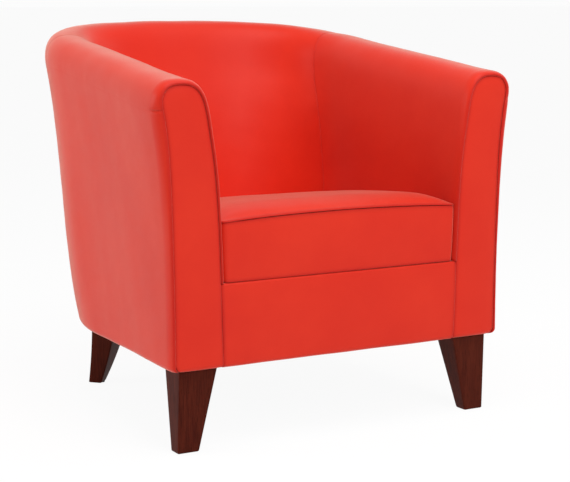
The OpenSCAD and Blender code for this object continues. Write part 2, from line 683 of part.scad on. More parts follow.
module arm_facing() color(FACING_RED) arm_plate(facing_in, facing_y, facing_t, base_h);
module right_arm_facing() arm_facing();
module left_arm_facing() mirror([1, 0, 0]) arm_facing();

// The rail cover turns in along its top and bottom edges
module front_rail_cover() {
  angles = [90, 60, 30, 0];
  function edge(t) = let (r = front_roll_r - t) concat(
    [for (a = angles) [front_setback + front_roll_r - r * cos(a), base_h + front_roll_r - r * sin(a)]],
    [for (i = [len(angles) - 1:-1:0]) let (a = angles[i])
      [front_setback + front_roll_r - r * cos(a), rail_seam_h - gap - front_roll_r + r * sin(a)]]);
  function rows(t) = [for (side = [1, -1]) [for (p = edge(t)) [side * rail_half_w, p[0] + y_shift, p[1]]]];
  color(COVER_RED) slab(rows(0), rows(cover_t));
}

// Seat

front_half_w = seat_half_w - gap - gap;
// How far the border swells between its seams, with the foam behind it
border_swell = cover_t;
crown_centre = [0, seat_d * crown_centre_share + y_shift];
// Edge height falls from the front corners to the back, and the front seam arches
function edge_z(p) =
  let (s = min(max((p[1] - y_shift) / seat_d, 0), 1), c = min(abs(p[0]) / seat_half_w, 1))
  mix(seat_corner_h, seat_back_h, pow(s, fall_power_share)) + seat_front_arch * (1 - c * c) * (1 - s);
function round_off(d) =
  d >= seat_edge_r ? 0 : seat_edge_r - sqrt(pow(seat_edge_r, 2) - pow(seat_edge_r - d, 2));
// Point of the seat's surface a given distance inside the edge, drop below the surface
function crown_pt(e, inset, drop) =
  let (c = crown_centre, d = norm(e - c), s = 1 - inset / d, p = c + (e - c) * s)
  [p[0], p[1], edge_z(p) + seat_crown * (1 - pow(s, 3)) - round_off(inset + drop) - drop];
function crown_rings(loop, insets, drop) = concat(
  [for (i = insets) [for (e = loop) crown_pt(e, i, drop)]],
  [for (s = crown_shares) [for (e = loop) crown_pt(e, norm(e - crown_centre) * (1 - s), drop)]]);
function crown_top(drop) = [crown_centre[0], crown_centre[1], edge_z(crown_centre) + seat_crown - drop];
function drawn(loop, inset, z) = [for (e = loop)
  let (d = norm(e - crown_centre), p = crown_centre + (e - crown_centre) * (1 - inset / d)) [p[0], p[1], z]];

module seat_foam() color(FOAM_CREAM) {
  loop = seat_loop(-(cover_t + gap + gap), front_setback + cover_t + gap + gap);
  drop = cover_t + gap;
  middle = mix(foam_bottom, seat_back_h, foam_middle_share);
  low = mix(foam_bottom, middle, foam_low_share);
  high = mix(middle, seat_back_h - seat_edge_r, foam_high_share);
  loft(concat(
    [drawn(loop, seat_draw_in, foam_bottom), drawn(loop, 0, low),
     drawn(loop, -border_swell, middle), drawn(loop, 0, high)],
    crown_rings(loop, [seat_draw_in, seat_edge_r], drop)), crown_top(drop));
}

// The top cover is a thin crowned shell with a short skirt
module seat_top_cover() {
  loop = seat_loop(-(gap + gap), front_setback);
  inner_loop = seat_loop(-(gap + gap + cover_t), front_setback + cover_t);
  insets = [seat_draw_in * skirt_draw_share, seat_edge_r / 2, seat_edge_r];
  a = crown_rings(loop, insets, 0);
  b = crown_rings(inner_loop, insets, cover_t);
  n = len(loop);
  m = len(a);
  function out(i, j) = i * n + j % n;
  function in(i, j) = m * n + i * n + j % n;
  faces = concat(
    [for (i = [0:m - 2]) for (j = [0:n - 1]) for (f = [
      [out(i, j), out(i + 1, j), out(i + 1, j + 1)], [out(i, j), out(i + 1, j + 1), out(i, j + 1)],
      [in(i, j), in(i + 1, j + 1), in(i + 1, j)], [in(i, j), in(i, j + 1), in(i + 1, j + 1)]]) f],
    [for (j = [0:n - 1]) for (f = [
      [in(0, j), out(0, j), out(0, j + 1)], [in(0, j), out(0, j + 1), in(0, j + 1)],
      [out(m - 1, j), 2 * m * n, out(m - 1, j + 1)], [in(m - 1, j), in(m - 1, j + 1), 2 * m * n + 1]]) f]);
  points = concat(flat(a), flat(b), [crown_top(0), crown_top(cover_t)]);
  color(COVER_RED) polyhedron(points = points, faces = faces, convexity = 4);
}

// The border is the seat's front band: it swells a little between its two seams
module seat_border() {
  xs = [for (i = [0:border_steps]) front_half_w * (1 - 2 * i / border_steps)];
  function column(x, t) =
    let (high = edge_z([x, front_setback + y_shift]) - seat_edge_r - gap)
    [for (s = border_level_shares)
      [x, front_setback + t - border_swell * sin(180 * s) + y_shift, mix(foam_bottom, high, s)]];
  color(COVER_RED) slab([for (x = xs) column(x, 0)], [for (x = xs) column(x, cover_t)]);
}

front_left_leg();
front_right_leg();
rear_left_leg();
rear_right_leg();
foot_glides();
leg_bolts();
t_nuts();
front_rail();
left_side_rail();
right_side_rail();
rear_rail();
corner_blocks();
left_arm_board();
right_arm_board();
left_arm_top_rail();
right_arm_top_rail();
back_top_rail();
wall_uprights();
left_arm_panel();
right_arm_panel();
seat_webbing_long();
seat_webbing_cross();
back_webbing();
deck_cloth();
dust_cover();
seat_foam();
back_foam();
left_arm_foam();
right_arm_foam();
outside_wadding();
front_wadding();
outside_cover();
inside_back_cover();
left_inside_arm_cover();
right_inside_arm_cover();
left_arm_facing();
right_arm_facing();
front_rail_cover();
seat_top_cover();
seat_border();
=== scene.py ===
# Upholstered tub chair: coral leather over a curved padded wall, on four tapered timber legs.
# Shapes are worked out in millimetres, up from the floor and back from the plane of the arm fronts, and are
# put in place in metres.
import json
import math

import bmesh
import bpy
import numpy as np
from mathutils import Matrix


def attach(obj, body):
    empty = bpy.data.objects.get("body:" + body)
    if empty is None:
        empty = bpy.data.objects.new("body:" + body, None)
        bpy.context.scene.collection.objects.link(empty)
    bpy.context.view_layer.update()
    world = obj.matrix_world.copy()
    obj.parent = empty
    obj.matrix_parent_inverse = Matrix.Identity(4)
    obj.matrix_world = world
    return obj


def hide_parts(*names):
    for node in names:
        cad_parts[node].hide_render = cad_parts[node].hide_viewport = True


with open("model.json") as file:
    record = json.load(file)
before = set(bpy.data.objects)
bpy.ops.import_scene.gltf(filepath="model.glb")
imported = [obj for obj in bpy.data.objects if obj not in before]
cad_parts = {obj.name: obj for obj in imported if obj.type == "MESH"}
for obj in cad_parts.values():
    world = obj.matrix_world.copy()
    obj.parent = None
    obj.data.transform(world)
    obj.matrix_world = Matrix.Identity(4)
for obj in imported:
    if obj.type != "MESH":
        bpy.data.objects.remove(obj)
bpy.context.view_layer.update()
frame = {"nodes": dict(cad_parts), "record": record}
scene = bpy.context.scene
scene.view_settings.view_transform = "Standard"

# Sizes of the tub itself, which every cover follows
tub = {
    # plan: half width, depth, and where the rear corners start and how square they are
    "halfWidth": 361.2, "depth": 790.0, "wall": 108.0, "frontStart": 24.0, "sideShare": 0.4,
    "sideTaper": 12.5, "baseCorner": 363.0, "rimCorner": 478.0, "baseSquare": 2.32, "rimSquare": 2.52,
    "seatHalf": 250.0, "seatCorner": 367.0, "seatSquare": 2.5, "armSeam": 0.5,
    # heights
    "baseHeight": 155.0, "seatLine": 311.0, "armHeight": 681.4, "rimRise": 88.7, "risePower": 1.06,
    # outside of the wall: lean of the back, flare to the rim, swell near the arm fronts, round under the base
    "backLean": 57.3, "tuck": 0.5, "tuckPower": 6.0, "flare": 23.4, "flarePower": 2.9,
    "frontSwell": 3.6, "frontSwellReach": 0.12, "baseRoll": 12.0,
    # inside of the wall, and the rim's section
    "evenLean": 0.45, "leanPower": 5.0,
    "rimOuterWidth": 49.7, "rimOuterHeight": 55.6, "rimInnerHeight": 85.7, "rimSection": 2.6,
}
halfDepth = tub["depth"] / 2
rimDepth = tub["depth"] - tub["flare"]
baseDepth = rimDepth - tub["backLean"]
mm = 0.001  # in metres
weldWithin = 2e-6  # metres between points that become one
joined = np.concatenate  # rows end to end


# From a to b by a share of the way
def mix(a, b, share):
    return a + (b - a) * share


# Coordinates, or whole columns, side by side
def together(*parts):
    return np.stack(np.broadcast_arrays(*parts), -1)


# A flat plan at a height
def raised(plan, z):
    return together(plan[..., 0], plan[..., 1], z)


# 1 at 0, falling away as exp(-(x / width)^2)
def bell(x, width):
    return np.exp(-(x / width) ** 2)


# 0 up to 0, 1 from 1 on, and 3x^2 - 2x^3 between them
def smooth(x):
    x = np.clip(x, 0, 1)
    return x * x * (3 - 2 * x)


# Plan of the tub for u from 0 at the arm front to 1 at the middle of the back. The side runs straight and
# draws in a little. The rear corner is a superellipse quarter, half cos^(2/s) across and depth sin^(2/s)
# back.
def planOf(u, half, corner, depth, square):
    side = u / tub["sideShare"]
    turn = np.clip((u - tub["sideShare"]) / (1 - tub["sideShare"]), 0, 1) * np.pi / 2
    across = half - tub["sideTaper"] * smooth(side)
    x = across * np.maximum(np.cos(turn), 0) ** (2 / square)
    y = np.where(side < 1, mix(tub["frontStart"], corner, side),
                 corner + (depth - corner) * np.maximum(np.sin(turn), 0) ** (2 / square))
    return together(x, y)


# Outside of the wall before its flare, for m from 0 at the base to 1 at the rim
def wallPlan(u, m):
    return planOf(u, tub["halfWidth"], mix(tub["baseCorner"], tub["rimCorner"], m),
                  mix(baseDepth, rimDepth, m), mix(tub["baseSquare"], tub["rimSquare"], m))


# Inside of the wall at the base. It is the same for every m, which planNormal passes on.
def seatPlan(u, m=0):
    return planOf(u, tub["seatHalf"], tub["seatCorner"], baseDepth - tub["wall"], tub["seatSquare"])


# Outward direction of a plan: its direction between two near points, turned a quarter. Past the middle of
# the back the plan is mirrored.
def planNormal(plan, u, m=0.0, step=0.002):
    past = u + step > 1
    after = plan(np.where(past, 2 - u - step, u + step), m)
    after = after * np.where(past, -1.0, 1.0)[..., None] ** np.array([1, 0])
    way = after - plan(u - step, m)
    way = way / np.linalg.norm(way, axis=-1, keepdims=True)
    return together(way[..., 1], -way[..., 0])


# Height of the rim's top: it climbs from the arm fronts to the back as a power of the way back
def apexHeight(u):
    reach = (wallPlan(u, 1.0)[..., 1] - tub["frontStart"]) / (rimDepth - tub["frontStart"])
    return tub["armHeight"] + tub["rimRise"] * np.clip(reach, 0, 2) ** tub["risePower"]


# Plan of the inside wall at a height: from the seat's plan to the rim's, partly even and partly as v^p
def insidePlan(u, z):
    top = apexHeight(u) - tub["rimInnerHeight"]
    v = np.clip((z - tub["baseHeight"]) / (top - tub["baseHeight"]), 0, 1)
    m = tub["evenLean"] * v + (1 - tub["evenLean"]) * v ** tub["leanPower"]
    rim = wallPlan(u, 1.0) + planNormal(wallPlan, u, 1.0) * (tub["flare"] - tub["wall"])
    return mix(seatPlan(u), rim, m[..., None])


# The profile of the wall is measured by k: 0 to 1 up the outside, 1 to 2 over the rim, 2 to 3 down the inside
# to the seat line and 3 to 4 from there to the base.
profile = {"outside": 240, "rim": 100, "inside": 160, "below": 80, "soften": 2.2, "softenInside": 11.0,
           "spread": 30.0}
kFine = joined([
    np.linspace(0, 1, profile["outside"], endpoint=False), np.linspace(1, 2, profile["rim"], endpoint=False),
    np.linspace(2, 3, profile["inside"], endpoint=False), np.linspace(3, 4, profile["below"])])


# Running mean along the profile with bell weights. Past an end the line goes on as its own half turn.
def softened(p, width):
    reach = int(math.ceil(3 * width))
    offsets = np.arange(-reach, reach + 1)
    weights = np.exp(-0.5 * (offsets / width) ** 2)
    weights /= weights.sum()
    head = 2 * p[:, :1] - p[:, reach:0:-1]
    tail = 2 * p[:, -1:] - p[:, -2:-reach - 2:-1]
    whole = joined([head, p, tail], 1)
    return sum(weight * whole[:, i:i + p.shape[1]] for i, weight in enumerate(weights))


# How far a rounded edge is drawn in at a distance from it: r - sqrt(r^2 - (r - d)^2), and 0 beyond r
def roundIn(distance, radius):
    left = radius - np.clip(distance, 0, radius)
    return radius - np.sqrt(np.maximum(radius ** 2 - left ** 2, 0))


# Lines of points along the whole profile, one for each w, from -1 at the left arm front through 0 at the back
# to 1 at the right, and t below the surface. Outside: the plan leans back with height and flares as v^p.
# Rim: a superellipse quarter outside and another inside. Inside: the plan goes from the seat's to the rim's.
# The outside turns under the base on a quarter circle, as round at every depth where roundAll is set.
def wallLines(w, t=0.0, roundAll=False):
    w, t = np.atleast_1d(w), np.asarray(t, float)
    u = 1 - np.abs(w)[:, None] + 0 * kFine
    t = (t[:, None] if t.ndim == 1 else t) + 0 * u
    k = kFine[None, :]
    base, apex = tub["baseHeight"], apexHeight(u)
    rimPlan, rimNormal = wallPlan(u, 1.0), planNormal(wallPlan, u, 1.0)
    # outside
    v = np.clip(k, 0, 1)
    lean = tub["tuck"] * (1 - (1 - v) ** tub["tuckPower"]) + (1 - tub["tuck"]) * v + 0 * u
    outNormal = planNormal(wallPlan, u, lean)
    swell = tub["frontSwell"] * bell(u, tub["frontSwellReach"])
    outside = wallPlan(u, lean) + outNormal * ((tub["flare"] + swell) * v ** tub["flarePower"] - t)[..., None]
    outsideZ = mix(base, apex - tub["rimOuterHeight"], v)
    # rim
    a = np.clip(k - 1, 0, 1) * np.pi
    power = 2 / tub["rimSection"]
    across, up = np.sign(np.cos(a)) * np.abs(np.cos(a)) ** power, np.maximum(np.sin(a), 0) ** power
    width = np.where(a > np.pi / 2, tub["wall"] - tub["rimOuterWidth"], tub["rimOuterWidth"] + swell)
    height = np.where(a > np.pi / 2, tub["rimInnerHeight"], tub["rimOuterHeight"])
    rim = rimPlan + rimNormal * (tub["flare"] - tub["rimOuterWidth"] + (width - t) * across)[..., None]
    rimZ = apex - height + (height - t) * up
    # inside
    insideZ = np.where(k < 3, mix(apex - tub["rimInnerHeight"], tub["seatLine"], np.clip(k - 2, 0, 1)),
                       mix(tub["seatLine"], base, np.clip(k - 3, 0, 1)))
    inside = insidePlan(u, insideZ) + planNormal(seatPlan, u) * t[..., None]
    xy = np.where((k < 1)[..., None], outside, np.where((k < 2)[..., None], rim, inside))
    z = np.where(k < 1, outsideZ, np.where(k < 2, rimZ, insideZ))
    lines = raised(xy, z)
    inner = np.arange(len(kFine)) - profile["outside"] - profile["rim"]
    near = bell(inner, profile["spread"])[None, :, None]
    lines = mix(softened(lines, profile["soften"]), softened(lines, profile["softenInside"]), near)
    less = 0 * t if roundAll else t
    turned = roundIn(lines[..., 2] - base - less, np.maximum(tub["baseRoll"] - less, 0))
    lines[..., :2] -= outNormal * np.where(k < 1, turned, 0)[..., None]
    lines[..., 0] *= np.where(w < 0, -1, 1)[:, None]
    return lines


# Points on those lines at any k, by a cubic through the four nearest points.
def alongLines(lines, k):
    at = np.interp(k, kFine, np.arange(len(kFine)))
    i = np.clip(at.astype(int), 1, len(kFine) - 3)
    f = (at - i)[None, :, None]
    p0, p1, p2, p3 = (lines[:, i + s] for s in (-1, 0, 1, 2))
    return p1 + 0.5 * f * (p2 - p0 + f * (2 * p0 - 5 * p1 + 4 * p2 - p3 + f * (3 * (p1 - p2) + p3 - p0)))


# Length walked along one direction of a grid, or along a single line with axis 0
def stepsAlong(p, axis=0):
    length = np.linalg.norm(np.diff(p, axis=axis), axis=-1)
    start = np.zeros_like(np.take(length, [0], axis))
    return joined([start, np.cumsum(length, axis)], axis)


# Points at given lengths along a flat line
def resampled(line, reach, places):
    return together(np.interp(places, reach, line[:, 0]), np.interp(places, reach, line[:, 1]))


# Unit normals of a grid: the cross product of its two directions.
def gridNormals(p):
    n = np.cross(np.gradient(p, axis=1), np.gradient(p, axis=0))
    return n / np.maximum(np.linalg.norm(n, axis=-1, keepdims=True), 1e-9)


# Where points lie round a seam's lip, and how much of its radius is used
lipAngles = np.radians([0, 12, 25, 38, 52, 66, 78, 90])
lipUsed = 0.88


# Distances along a length: close together on the round of a seam's lip at either end, even in between.
def spaced(length, step, startLip=0.0, endLip=0.0):
    start = startLip * (1 - np.cos(lipAngles)) if startLip else np.array([0.0])
    end = length - endLip * (1 - np.cos(lipAngles[::-1])) if endLip else np.array([length])
    count = max(int(round((end[0] - start[-1]) / step)), 2)
    return joined([start[:-1], np.linspace(start[-1], end[0], count + 1), end[1:]])


# A seam's lip falls away on most of a quarter circle: depth = r - sqrt(r^2 - (r - d)^2) at distance d.
def lipDepth(distance, radius):
    left = np.clip(1 - distance / np.maximum(radius, 1e-6), 0, lipUsed)
    return radius * (1 - np.sqrt(1 - left ** 2))


# Gentle unevenness of stuffed leather, up to about 1 mm either way: a sum of sine waves in random directions
waves = np.random.default_rng(11)
waveLengths = (310, 260, 220, 190, 160, 135, 115, 95, 80, 68, 57, 48)
unevenWaves = [(waves.normal(size=3), length, waves.uniform(0, 6.28)) for length in waveLengths]
unevenShare = 1 / 560.0


def uneven(p):
    total = 0
    for way, length, phase in unevenWaves:
        way = way / np.linalg.norm(way)
        total = total + length * np.sin(p @ way * 2 * np.pi / length + phase)
    return total * unevenShare


# Small gathers that run out from a seam: waves along it, each with a length, a phase and a share. They
# start a little way from the seam and fade with distance from it.
gatherWaves = ((3.1, 0.0, 1.0), (4.7, 1.3, 0.8), (8.9, 0.4, 0.9))


def gathers(distance, along, reach=11.0, start=2.5):
    ripple = sum(share * np.sin(along / length + phase) for length, phase, share in gatherWaves)
    return ripple * np.exp(-distance / reach) * np.clip(distance / start, 0, 1)


# A mesh from points, faces, a flat cut of the cover in uv, and the attributes that the leather uses: painted
# shade along the seams, and wear
def putMesh(name, points, faces, uv, seam, wear):
    verts = points * mm
    verts[:, 1] -= halfDepth * mm
    mesh = bpy.data.meshes.new(name)
    mesh.from_pydata(verts, [], faces)
    index = np.zeros(len(mesh.loops), np.int32)
    mesh.loops.foreach_get("vertex_index", index)
    layer = mesh.uv_layers.new(name="cut")
    layer.data.foreach_set("uv", (uv[index] * mm).astype(np.float32).ravel())
    for label, values in (("seam", seam), ("wear", wear)):
        mesh.attributes.new(label, "FLOAT", "POINT").data.foreach_set("value", values.astype(np.float32))
    work = bmesh.new()
    work.from_mesh(mesh)
    bmesh.ops.remove_doubles(work, verts=work.verts, dist=weldWithin)
    work.to_mesh(mesh)
    work.free()
    mesh.polygons.foreach_set("use_smooth", np.ones(len(mesh.polygons), bool))
    mesh.validate()
    piece = bpy.data.objects.new(name, mesh)
    scene.collection.objects.link(piece)
    print(f"{name}: {len(mesh.polygons)} faces")
    return piece


# A closed pad between a front grid and a back grid of the same count, walled round its sides. With joinEnd
# the last columns already meet, so that side gets no wall.
def slabPiece(name, outer, inner, seam, wear=0.0, joinEnd=False):
    n, m = outer.shape[:2]
    at = np.arange(n * m).reshape(n, m)
    under = at + n * m

    def quads(a, b, c, d):
        return together(a, b, c, d).reshape(-1, 4)

    faces = [quads(at[:-1, :-1], at[:-1, 1:], at[1:, 1:], at[1:, :-1]),
             quads(under[:-1, :-1], under[1:, :-1], under[1:, 1:], under[:-1, 1:]),
             quads(at[0, 1:], at[0, :-1], under[0, :-1], under[0, 1:]),
             quads(at[-1, :-1], at[-1, 1:], under[-1, 1:], under[-1, :-1]),
             quads(at[:-1, 0], at[1:, 0], under[1:, 0], under[:-1, 0])]
    if not joinEnd:
        faces.append(quads(at[1:, -1], at[:-1, -1], under[:-1, -1], under[1:, -1]))
    uv = together(stepsAlong(outer, 0), stepsAlong(outer, 1)).reshape(-1, 2)
    points = joined([outer.reshape(-1, 3), inner.reshape(-1, 3)])
    seam, wear = (np.tile((part + 0 * seam).ravel(), 2) for part in (seam, wear))
    return putMesh(name, points, joined(faces).tolist(), np.tile(uv, (2, 1)), seam, wear)


# A closed body through rings of points that turn anticlockwise seen from above, from the top's middle
# outward, down and in again to the bottom's middle.
def ringPiece(name, rings, seam=0.0):
    n, m = rings.shape[:2]
    points = joined([rings.reshape(-1, 3), [rings[0].mean(0), rings[-1].mean(0)]])
    at = np.arange(n * m).reshape(n, m)
    right = np.roll(at, -1, 1)
    quads = together(at[:-1], at[1:], right[1:], right[:-1]).reshape(-1, 4)
    caps = joined([together(n * m, at[0], right[0]), together(n * m + 1, right[-1], at[-1])])
    uv = together(np.arange(m) * 4.0, stepsAlong(rings)).reshape(-1, 2)
    seam = joined([(seam + np.zeros((n, m))).ravel(), [0, 0]])
    return putMesh(name, points, quads.tolist() + caps.tolist(), joined([uv, uv[:2]]), seam, 0 * seam)


# The arm fronts: each wall cover goes round onto the front on an elliptic quarter and turns into the facing's
# seam on a small lip. The quarter's width across depends on k: greatest just under the rim, least inside.
# One width there sets how far, in millimetres, the painted shade spreads from every seam
front = {"acrossAt": (0, 0.35, 0.5, 0.62, 0.74, 0.86, 0.97, 1.12, 1.3, 1.5),
         "across": (6.2, 6.6, 7.6, 9.6, 12.2, 14.8, 15.6, 10.8, 8.4, 8.0), "acrossInside": 3.4,
         "along": 24.0, "alongInside": 14.0, "changeFrom": 1.5, "changeOver": 0.8, "turns": 12,
         "looseAtEnd": 0.35, "lip": 2.2, "bend": 64.0, "bends": 5, "wall": 2.2, "gap": 0.05, "seam": 4.2,
         "turn": 9.0, "behind": (0.4, 4.0)}
wallShares = np.array([0.5, 1.0])  # columns of the short wall below a lip


# One value up the outside and over the rim, which eases into another down the inside
def towardInside(outer, inner):
    return mix(outer, inner, smooth((kFine - front["changeFrom"]) / front["changeOver"]))


# Width across of the front's roll all along the profile
def frontAcross():
    return towardInside(np.interp(kFine, front["acrossAt"], front["across"]), front["acrossInside"])


# Columns of a front end: round the roll, over the lip and down its short wall. Each has an angle round the
# roll, a depth t, a way back y, a depth in the seam and a share of the cover's looseness.
def frontColumns():
    turn = np.radians(np.arange(1, front["turns"] + 1) * 90 / front["turns"])
    bend = np.radians(np.linspace(0.2, 1, front["bends"]) * front["bend"])
    inward, back = front["lip"] * np.sin(bend), front["lip"] * (1 - np.cos(bend))
    angle = joined([turn, np.full(len(bend) + len(wallShares), np.pi / 2)])
    t = joined([0 * turn, inward, inward[-1] + 0 * wallShares])
    y = joined([0 * turn, back, back[-1] + front["wall"] * wallShares])
    loose = joined([np.linspace(1, front["looseAtEnd"], len(turn)), np.zeros(len(t) - len(turn))])
    return {"angle": angle, "t": t, "y": y, "sink": 0 * t, "loose": loose}


# Numbers of points in the tables in which places are looked up
tables = {"columns": 1600, "stations": 900, "outline": 3000, "seat": 900}


# Columns of a wall cover between w0 and w1. A seam end has a lip with a short wall below it, a front end the
# columns above.
def coverColumns(w0, w1, kRef, step, lip, thick):
    table = np.linspace(w0, w1, tables["columns"])
    reach = stepsAlong(alongLines(wallLines(table), np.array([kRef]))[:, 0])
    fronts = (w0 == -1, w1 == 1)
    place = spaced(reach[-1], step, 0 if fronts[0] else lip, 0 if fronts[1] else lip)
    w = np.interp(place, reach, table)
    rolled = frontColumns()
    sewn = {key: 0 * wallShares for key in rolled}
    sewn["sink"] = front["wall"] * wallShares
    middle = {key: 0 * w for key in rolled}
    middle["loose"] = 0 * w + 1
    ends = [rolled if isFront else sewn for isFront in fronts]
    columns = {key: joined([ends[0][key][::-1], middle[key], ends[1][key]]) for key in middle}
    counts = [len(end["t"]) for end in ends]
    even = np.interp(np.linspace(0, reach[-1], len(w)), reach, table)
    columns["w"] = joined([np.full(counts[0], w0), w, np.full(counts[1], w1)])
    columns["backW"] = joined([np.full(counts[0], w0), even, np.full(counts[1], w1)])
    columns["backT"] = np.full(len(columns["w"]), thick)
    behind = [-np.linspace(*front["behind"], count) * isFront for count, isFront in zip(counts, fronts)]
    columns["backY"] = joined([behind[0][::-1], 0 * w, behind[1]])
    columns["fronts"], columns["counts"] = fronts, counts
    return columns


# What all wall covers share: lips along the seams, how fast the puff between them grows, the heights of the
# gathers, and the pinch where the rim's seam meets the facing's, which draws the leather in, with painted
# shade
stitched = {"lip": 1.3, "rimLip": 0.15, "sideFade": 38.0, "rimFade": 30.0, "uneven": 0.55,
            "sideGathers": 0.14, "rimGathers": 0.06, "frontGathers": 0.10, "pinch": 26.0, "pinchLip": 0.4,
            "pinchGathers": 0.22, "dent": 3.0, "dentReach": 12.0, "pinchShade": 0.3,
            "pinchShadeWidth": (2.0, 6.0), "wearAt": 1.5, "wearOver": 0.35}


# A cover over part of the wall: the lines at its columns and stations, pressed in along every seam, puffed up
# a little between them, with the unevenness and the gathers of stretched leather.
def wallCover(name, columns, stations, cut):
    angle, along = columns["angle"][:, None], towardInside(front["along"], front["alongInside"])
    t = columns["t"][:, None] + frontAcross() * (1 - np.cos(angle))
    forward = along * np.sin(angle) + (tub["frontStart"] - along) * np.sin(np.minimum(2 * angle, np.pi / 2))
    lines = wallLines(columns["w"], t, True)
    # the roll turns back at the base on a quarter circle
    turnedBack = np.where(kFine < 1, roundIn(lines[..., 2] - tub["baseHeight"], front["turn"]), 0)
    lines[..., 1] += columns["y"][:, None] - forward + turnedBack * np.sin(angle)
    skin = alongLines(lines, stations)
    n, m = skin.shape[:2]
    (startFront, endFront), counts = columns["fronts"], columns["counts"]
    # normals come from the columns that lie apart from each other
    first, last = (0 if startFront else counts[0]), (n if endFront else n - counts[1])
    normal = gridNormals(skin[first:last])
    normal = joined([np.repeat(normal[:1], first, 0), normal, np.repeat(normal[-1:], n - last, 0)])
    # distances to the side seams, to the rim's seam and to the facing's, which is past the roll's last column
    across, up = stepsAlong(skin), stepsAlong(skin, 1)
    far = np.full((n, m), np.inf)
    sides = np.minimum(far if startFront else across, far if endFront else across[-1:] - across)
    ends = up if cut["rimAtStart"] else up[:, -1:] - up
    fromStart = across - across[counts[0] - front["turns"]] if startFront else far
    fromEnd = across[n - counts[1] + front["turns"] - 1] - across if endFront else far
    toFront = np.maximum(np.minimum(fromStart, fromEnd), 0)
    pinch = bell(toFront, stitched["pinch"])
    rimLip = stitched["rimLip"] * (1 + stitched["pinchLip"] * pinch)
    depth = lipDepth(sides, stitched["lip"]) + lipDepth(ends, rimLip)
    rise = cut["puff"] * (1 - np.exp(-sides / stitched["sideFade"]))
    rise = rise * (1 - np.exp(-ends / stitched["rimFade"]))
    rise = rise + stitched["uneven"] * uneven(skin) + stitched["sideGathers"] * gathers(sides, up)
    rise = rise + (stitched["rimGathers"] + stitched["pinchGathers"] * pinch) * gathers(ends, across)
    rise = rise + stitched["frontGathers"] * gathers(toFront, up)
    rise = rise - stitched["dent"] * pinch * np.exp(-ends / stitched["dentReach"])
    loose = columns["loose"][:, None]
    skin = skin + normal * (rise * loose - depth * (loose > 0) - columns["sink"][:, None])[..., None]
    back = wallLines(columns["backW"], columns["backT"])
    back[..., 1] += columns["backY"][:, None]
    back = alongLines(back, np.interp(np.linspace(0, 1, m), up[n // 2] / up[n // 2, -1], stations))
    line, lineMore = stitched["pinchShadeWidth"]
    # painted shade: darker along the facings' seams, along the side seams by sideShade, and in a smudge at
    # the pinch
    seam = np.maximum.reduce([cut["sideShade"] * bell(sides, front["seam"]), bell(toFront, front["seam"]),
                              stitched["pinchShade"] * pinch * bell(ends, line + lineMore * pinch)])
    seam = np.where(loose > 0, seam, 1.0)
    wear = bell(stations - stitched["wearAt"], stitched["wearOver"]) * np.ones((n, 1))
    return slabPiece(name, skin, back, seam, wear)


# Stations along the profile between two values of k, even along the line at stationW, close together at a lip
stationW = -0.75


def stationsOf(k0, k1, step, startLip=0.0, endLip=0.0):
    table = np.linspace(k0, k1, tables["stations"])
    reach = stepsAlong(alongLines(wallLines([stationW]), table)[0])
    return np.interp(spaced(reach[-1], step, startLip, endLip), reach, table)


# Inside covers, each over the rim: a back and two arms, sewn together at the rear corners
inside = {"step": 4.6, "rimAtStart": True, "puff": 1.6, "thick": 12.5, "sideShade": 0.42, "spacedAt": 2.3}
seamW = 1 - tub["armSeam"]  # where the back's cover meets an arm's
insideStations = stationsOf(1.0, 3.0, inside["step"], stitched["rimLip"])
covers = {}
for name, w0, w1 in (("insideBack", -seamW, seamW), ("insideArmLeft", -1, -seamW),
                     ("insideArmRight", seamW, 1)):
    columns = coverColumns(w0, w1, inside["spacedAt"], inside["step"], stitched["lip"], inside["thick"])
    covers[name] = wallCover(name, columns, insideStations, inside)

# Outside cover: one length of leather round the sides and the back, turned under the base
outside = {"step": 6.0, "rimAtStart": False, "puff": 0.0, "thick": 6.0, "sideShade": 0.0, "spacedAt": 0.5}
# k where the turn under the base ends
baseTurn = tub["baseRoll"] / (tub["armHeight"] - tub["rimOuterHeight"] - tub["baseHeight"])
outsideStations = joined([baseTurn * (1 - np.cos(np.radians(np.arange(0, 90, 7.5)))),
                          stationsOf(baseTurn, 1.0, outside["step"], 0, stitched["rimLip"])])
columns = coverColumns(-1, 1, outside["spacedAt"], outside["step"], stitched["lip"], outside["thick"])
covers["outsideCover"] = wallCover("outsideCover", columns, outsideStations, outside)

# Arm facings: the outline of the arm inside its front roll, closed in to a line up its middle. The face is
# drawn down at its seam, comes up on a soft curve, and turns under the base.
facing = {"lip": 2.0, "set": 2.4, "rise": 2.4, "soft": 11.0, "back": 7.6, "top": 52.0, "step": 5.0,
          "archStep": 2.6, "near": (3.0, 4.6, 6.8, 9.4, 12.4), "farRows": 8, "under": 24.0, "clear": 1.5,
          "cornerKept": 0.4, "uneven": 0.35, "gathers": 0.08, "gatherReach": 8.0}


# Outline of the right facing: up its outside, over the top and down its inside
def facingOutline():
    inset = frontAcross() + front["lip"] * math.sin(math.radians(front["bend"])) + front["gap"]
    return alongLines(wallLines([1.0], inset[None, :]), np.linspace(0, 4, tables["outline"]))[0]


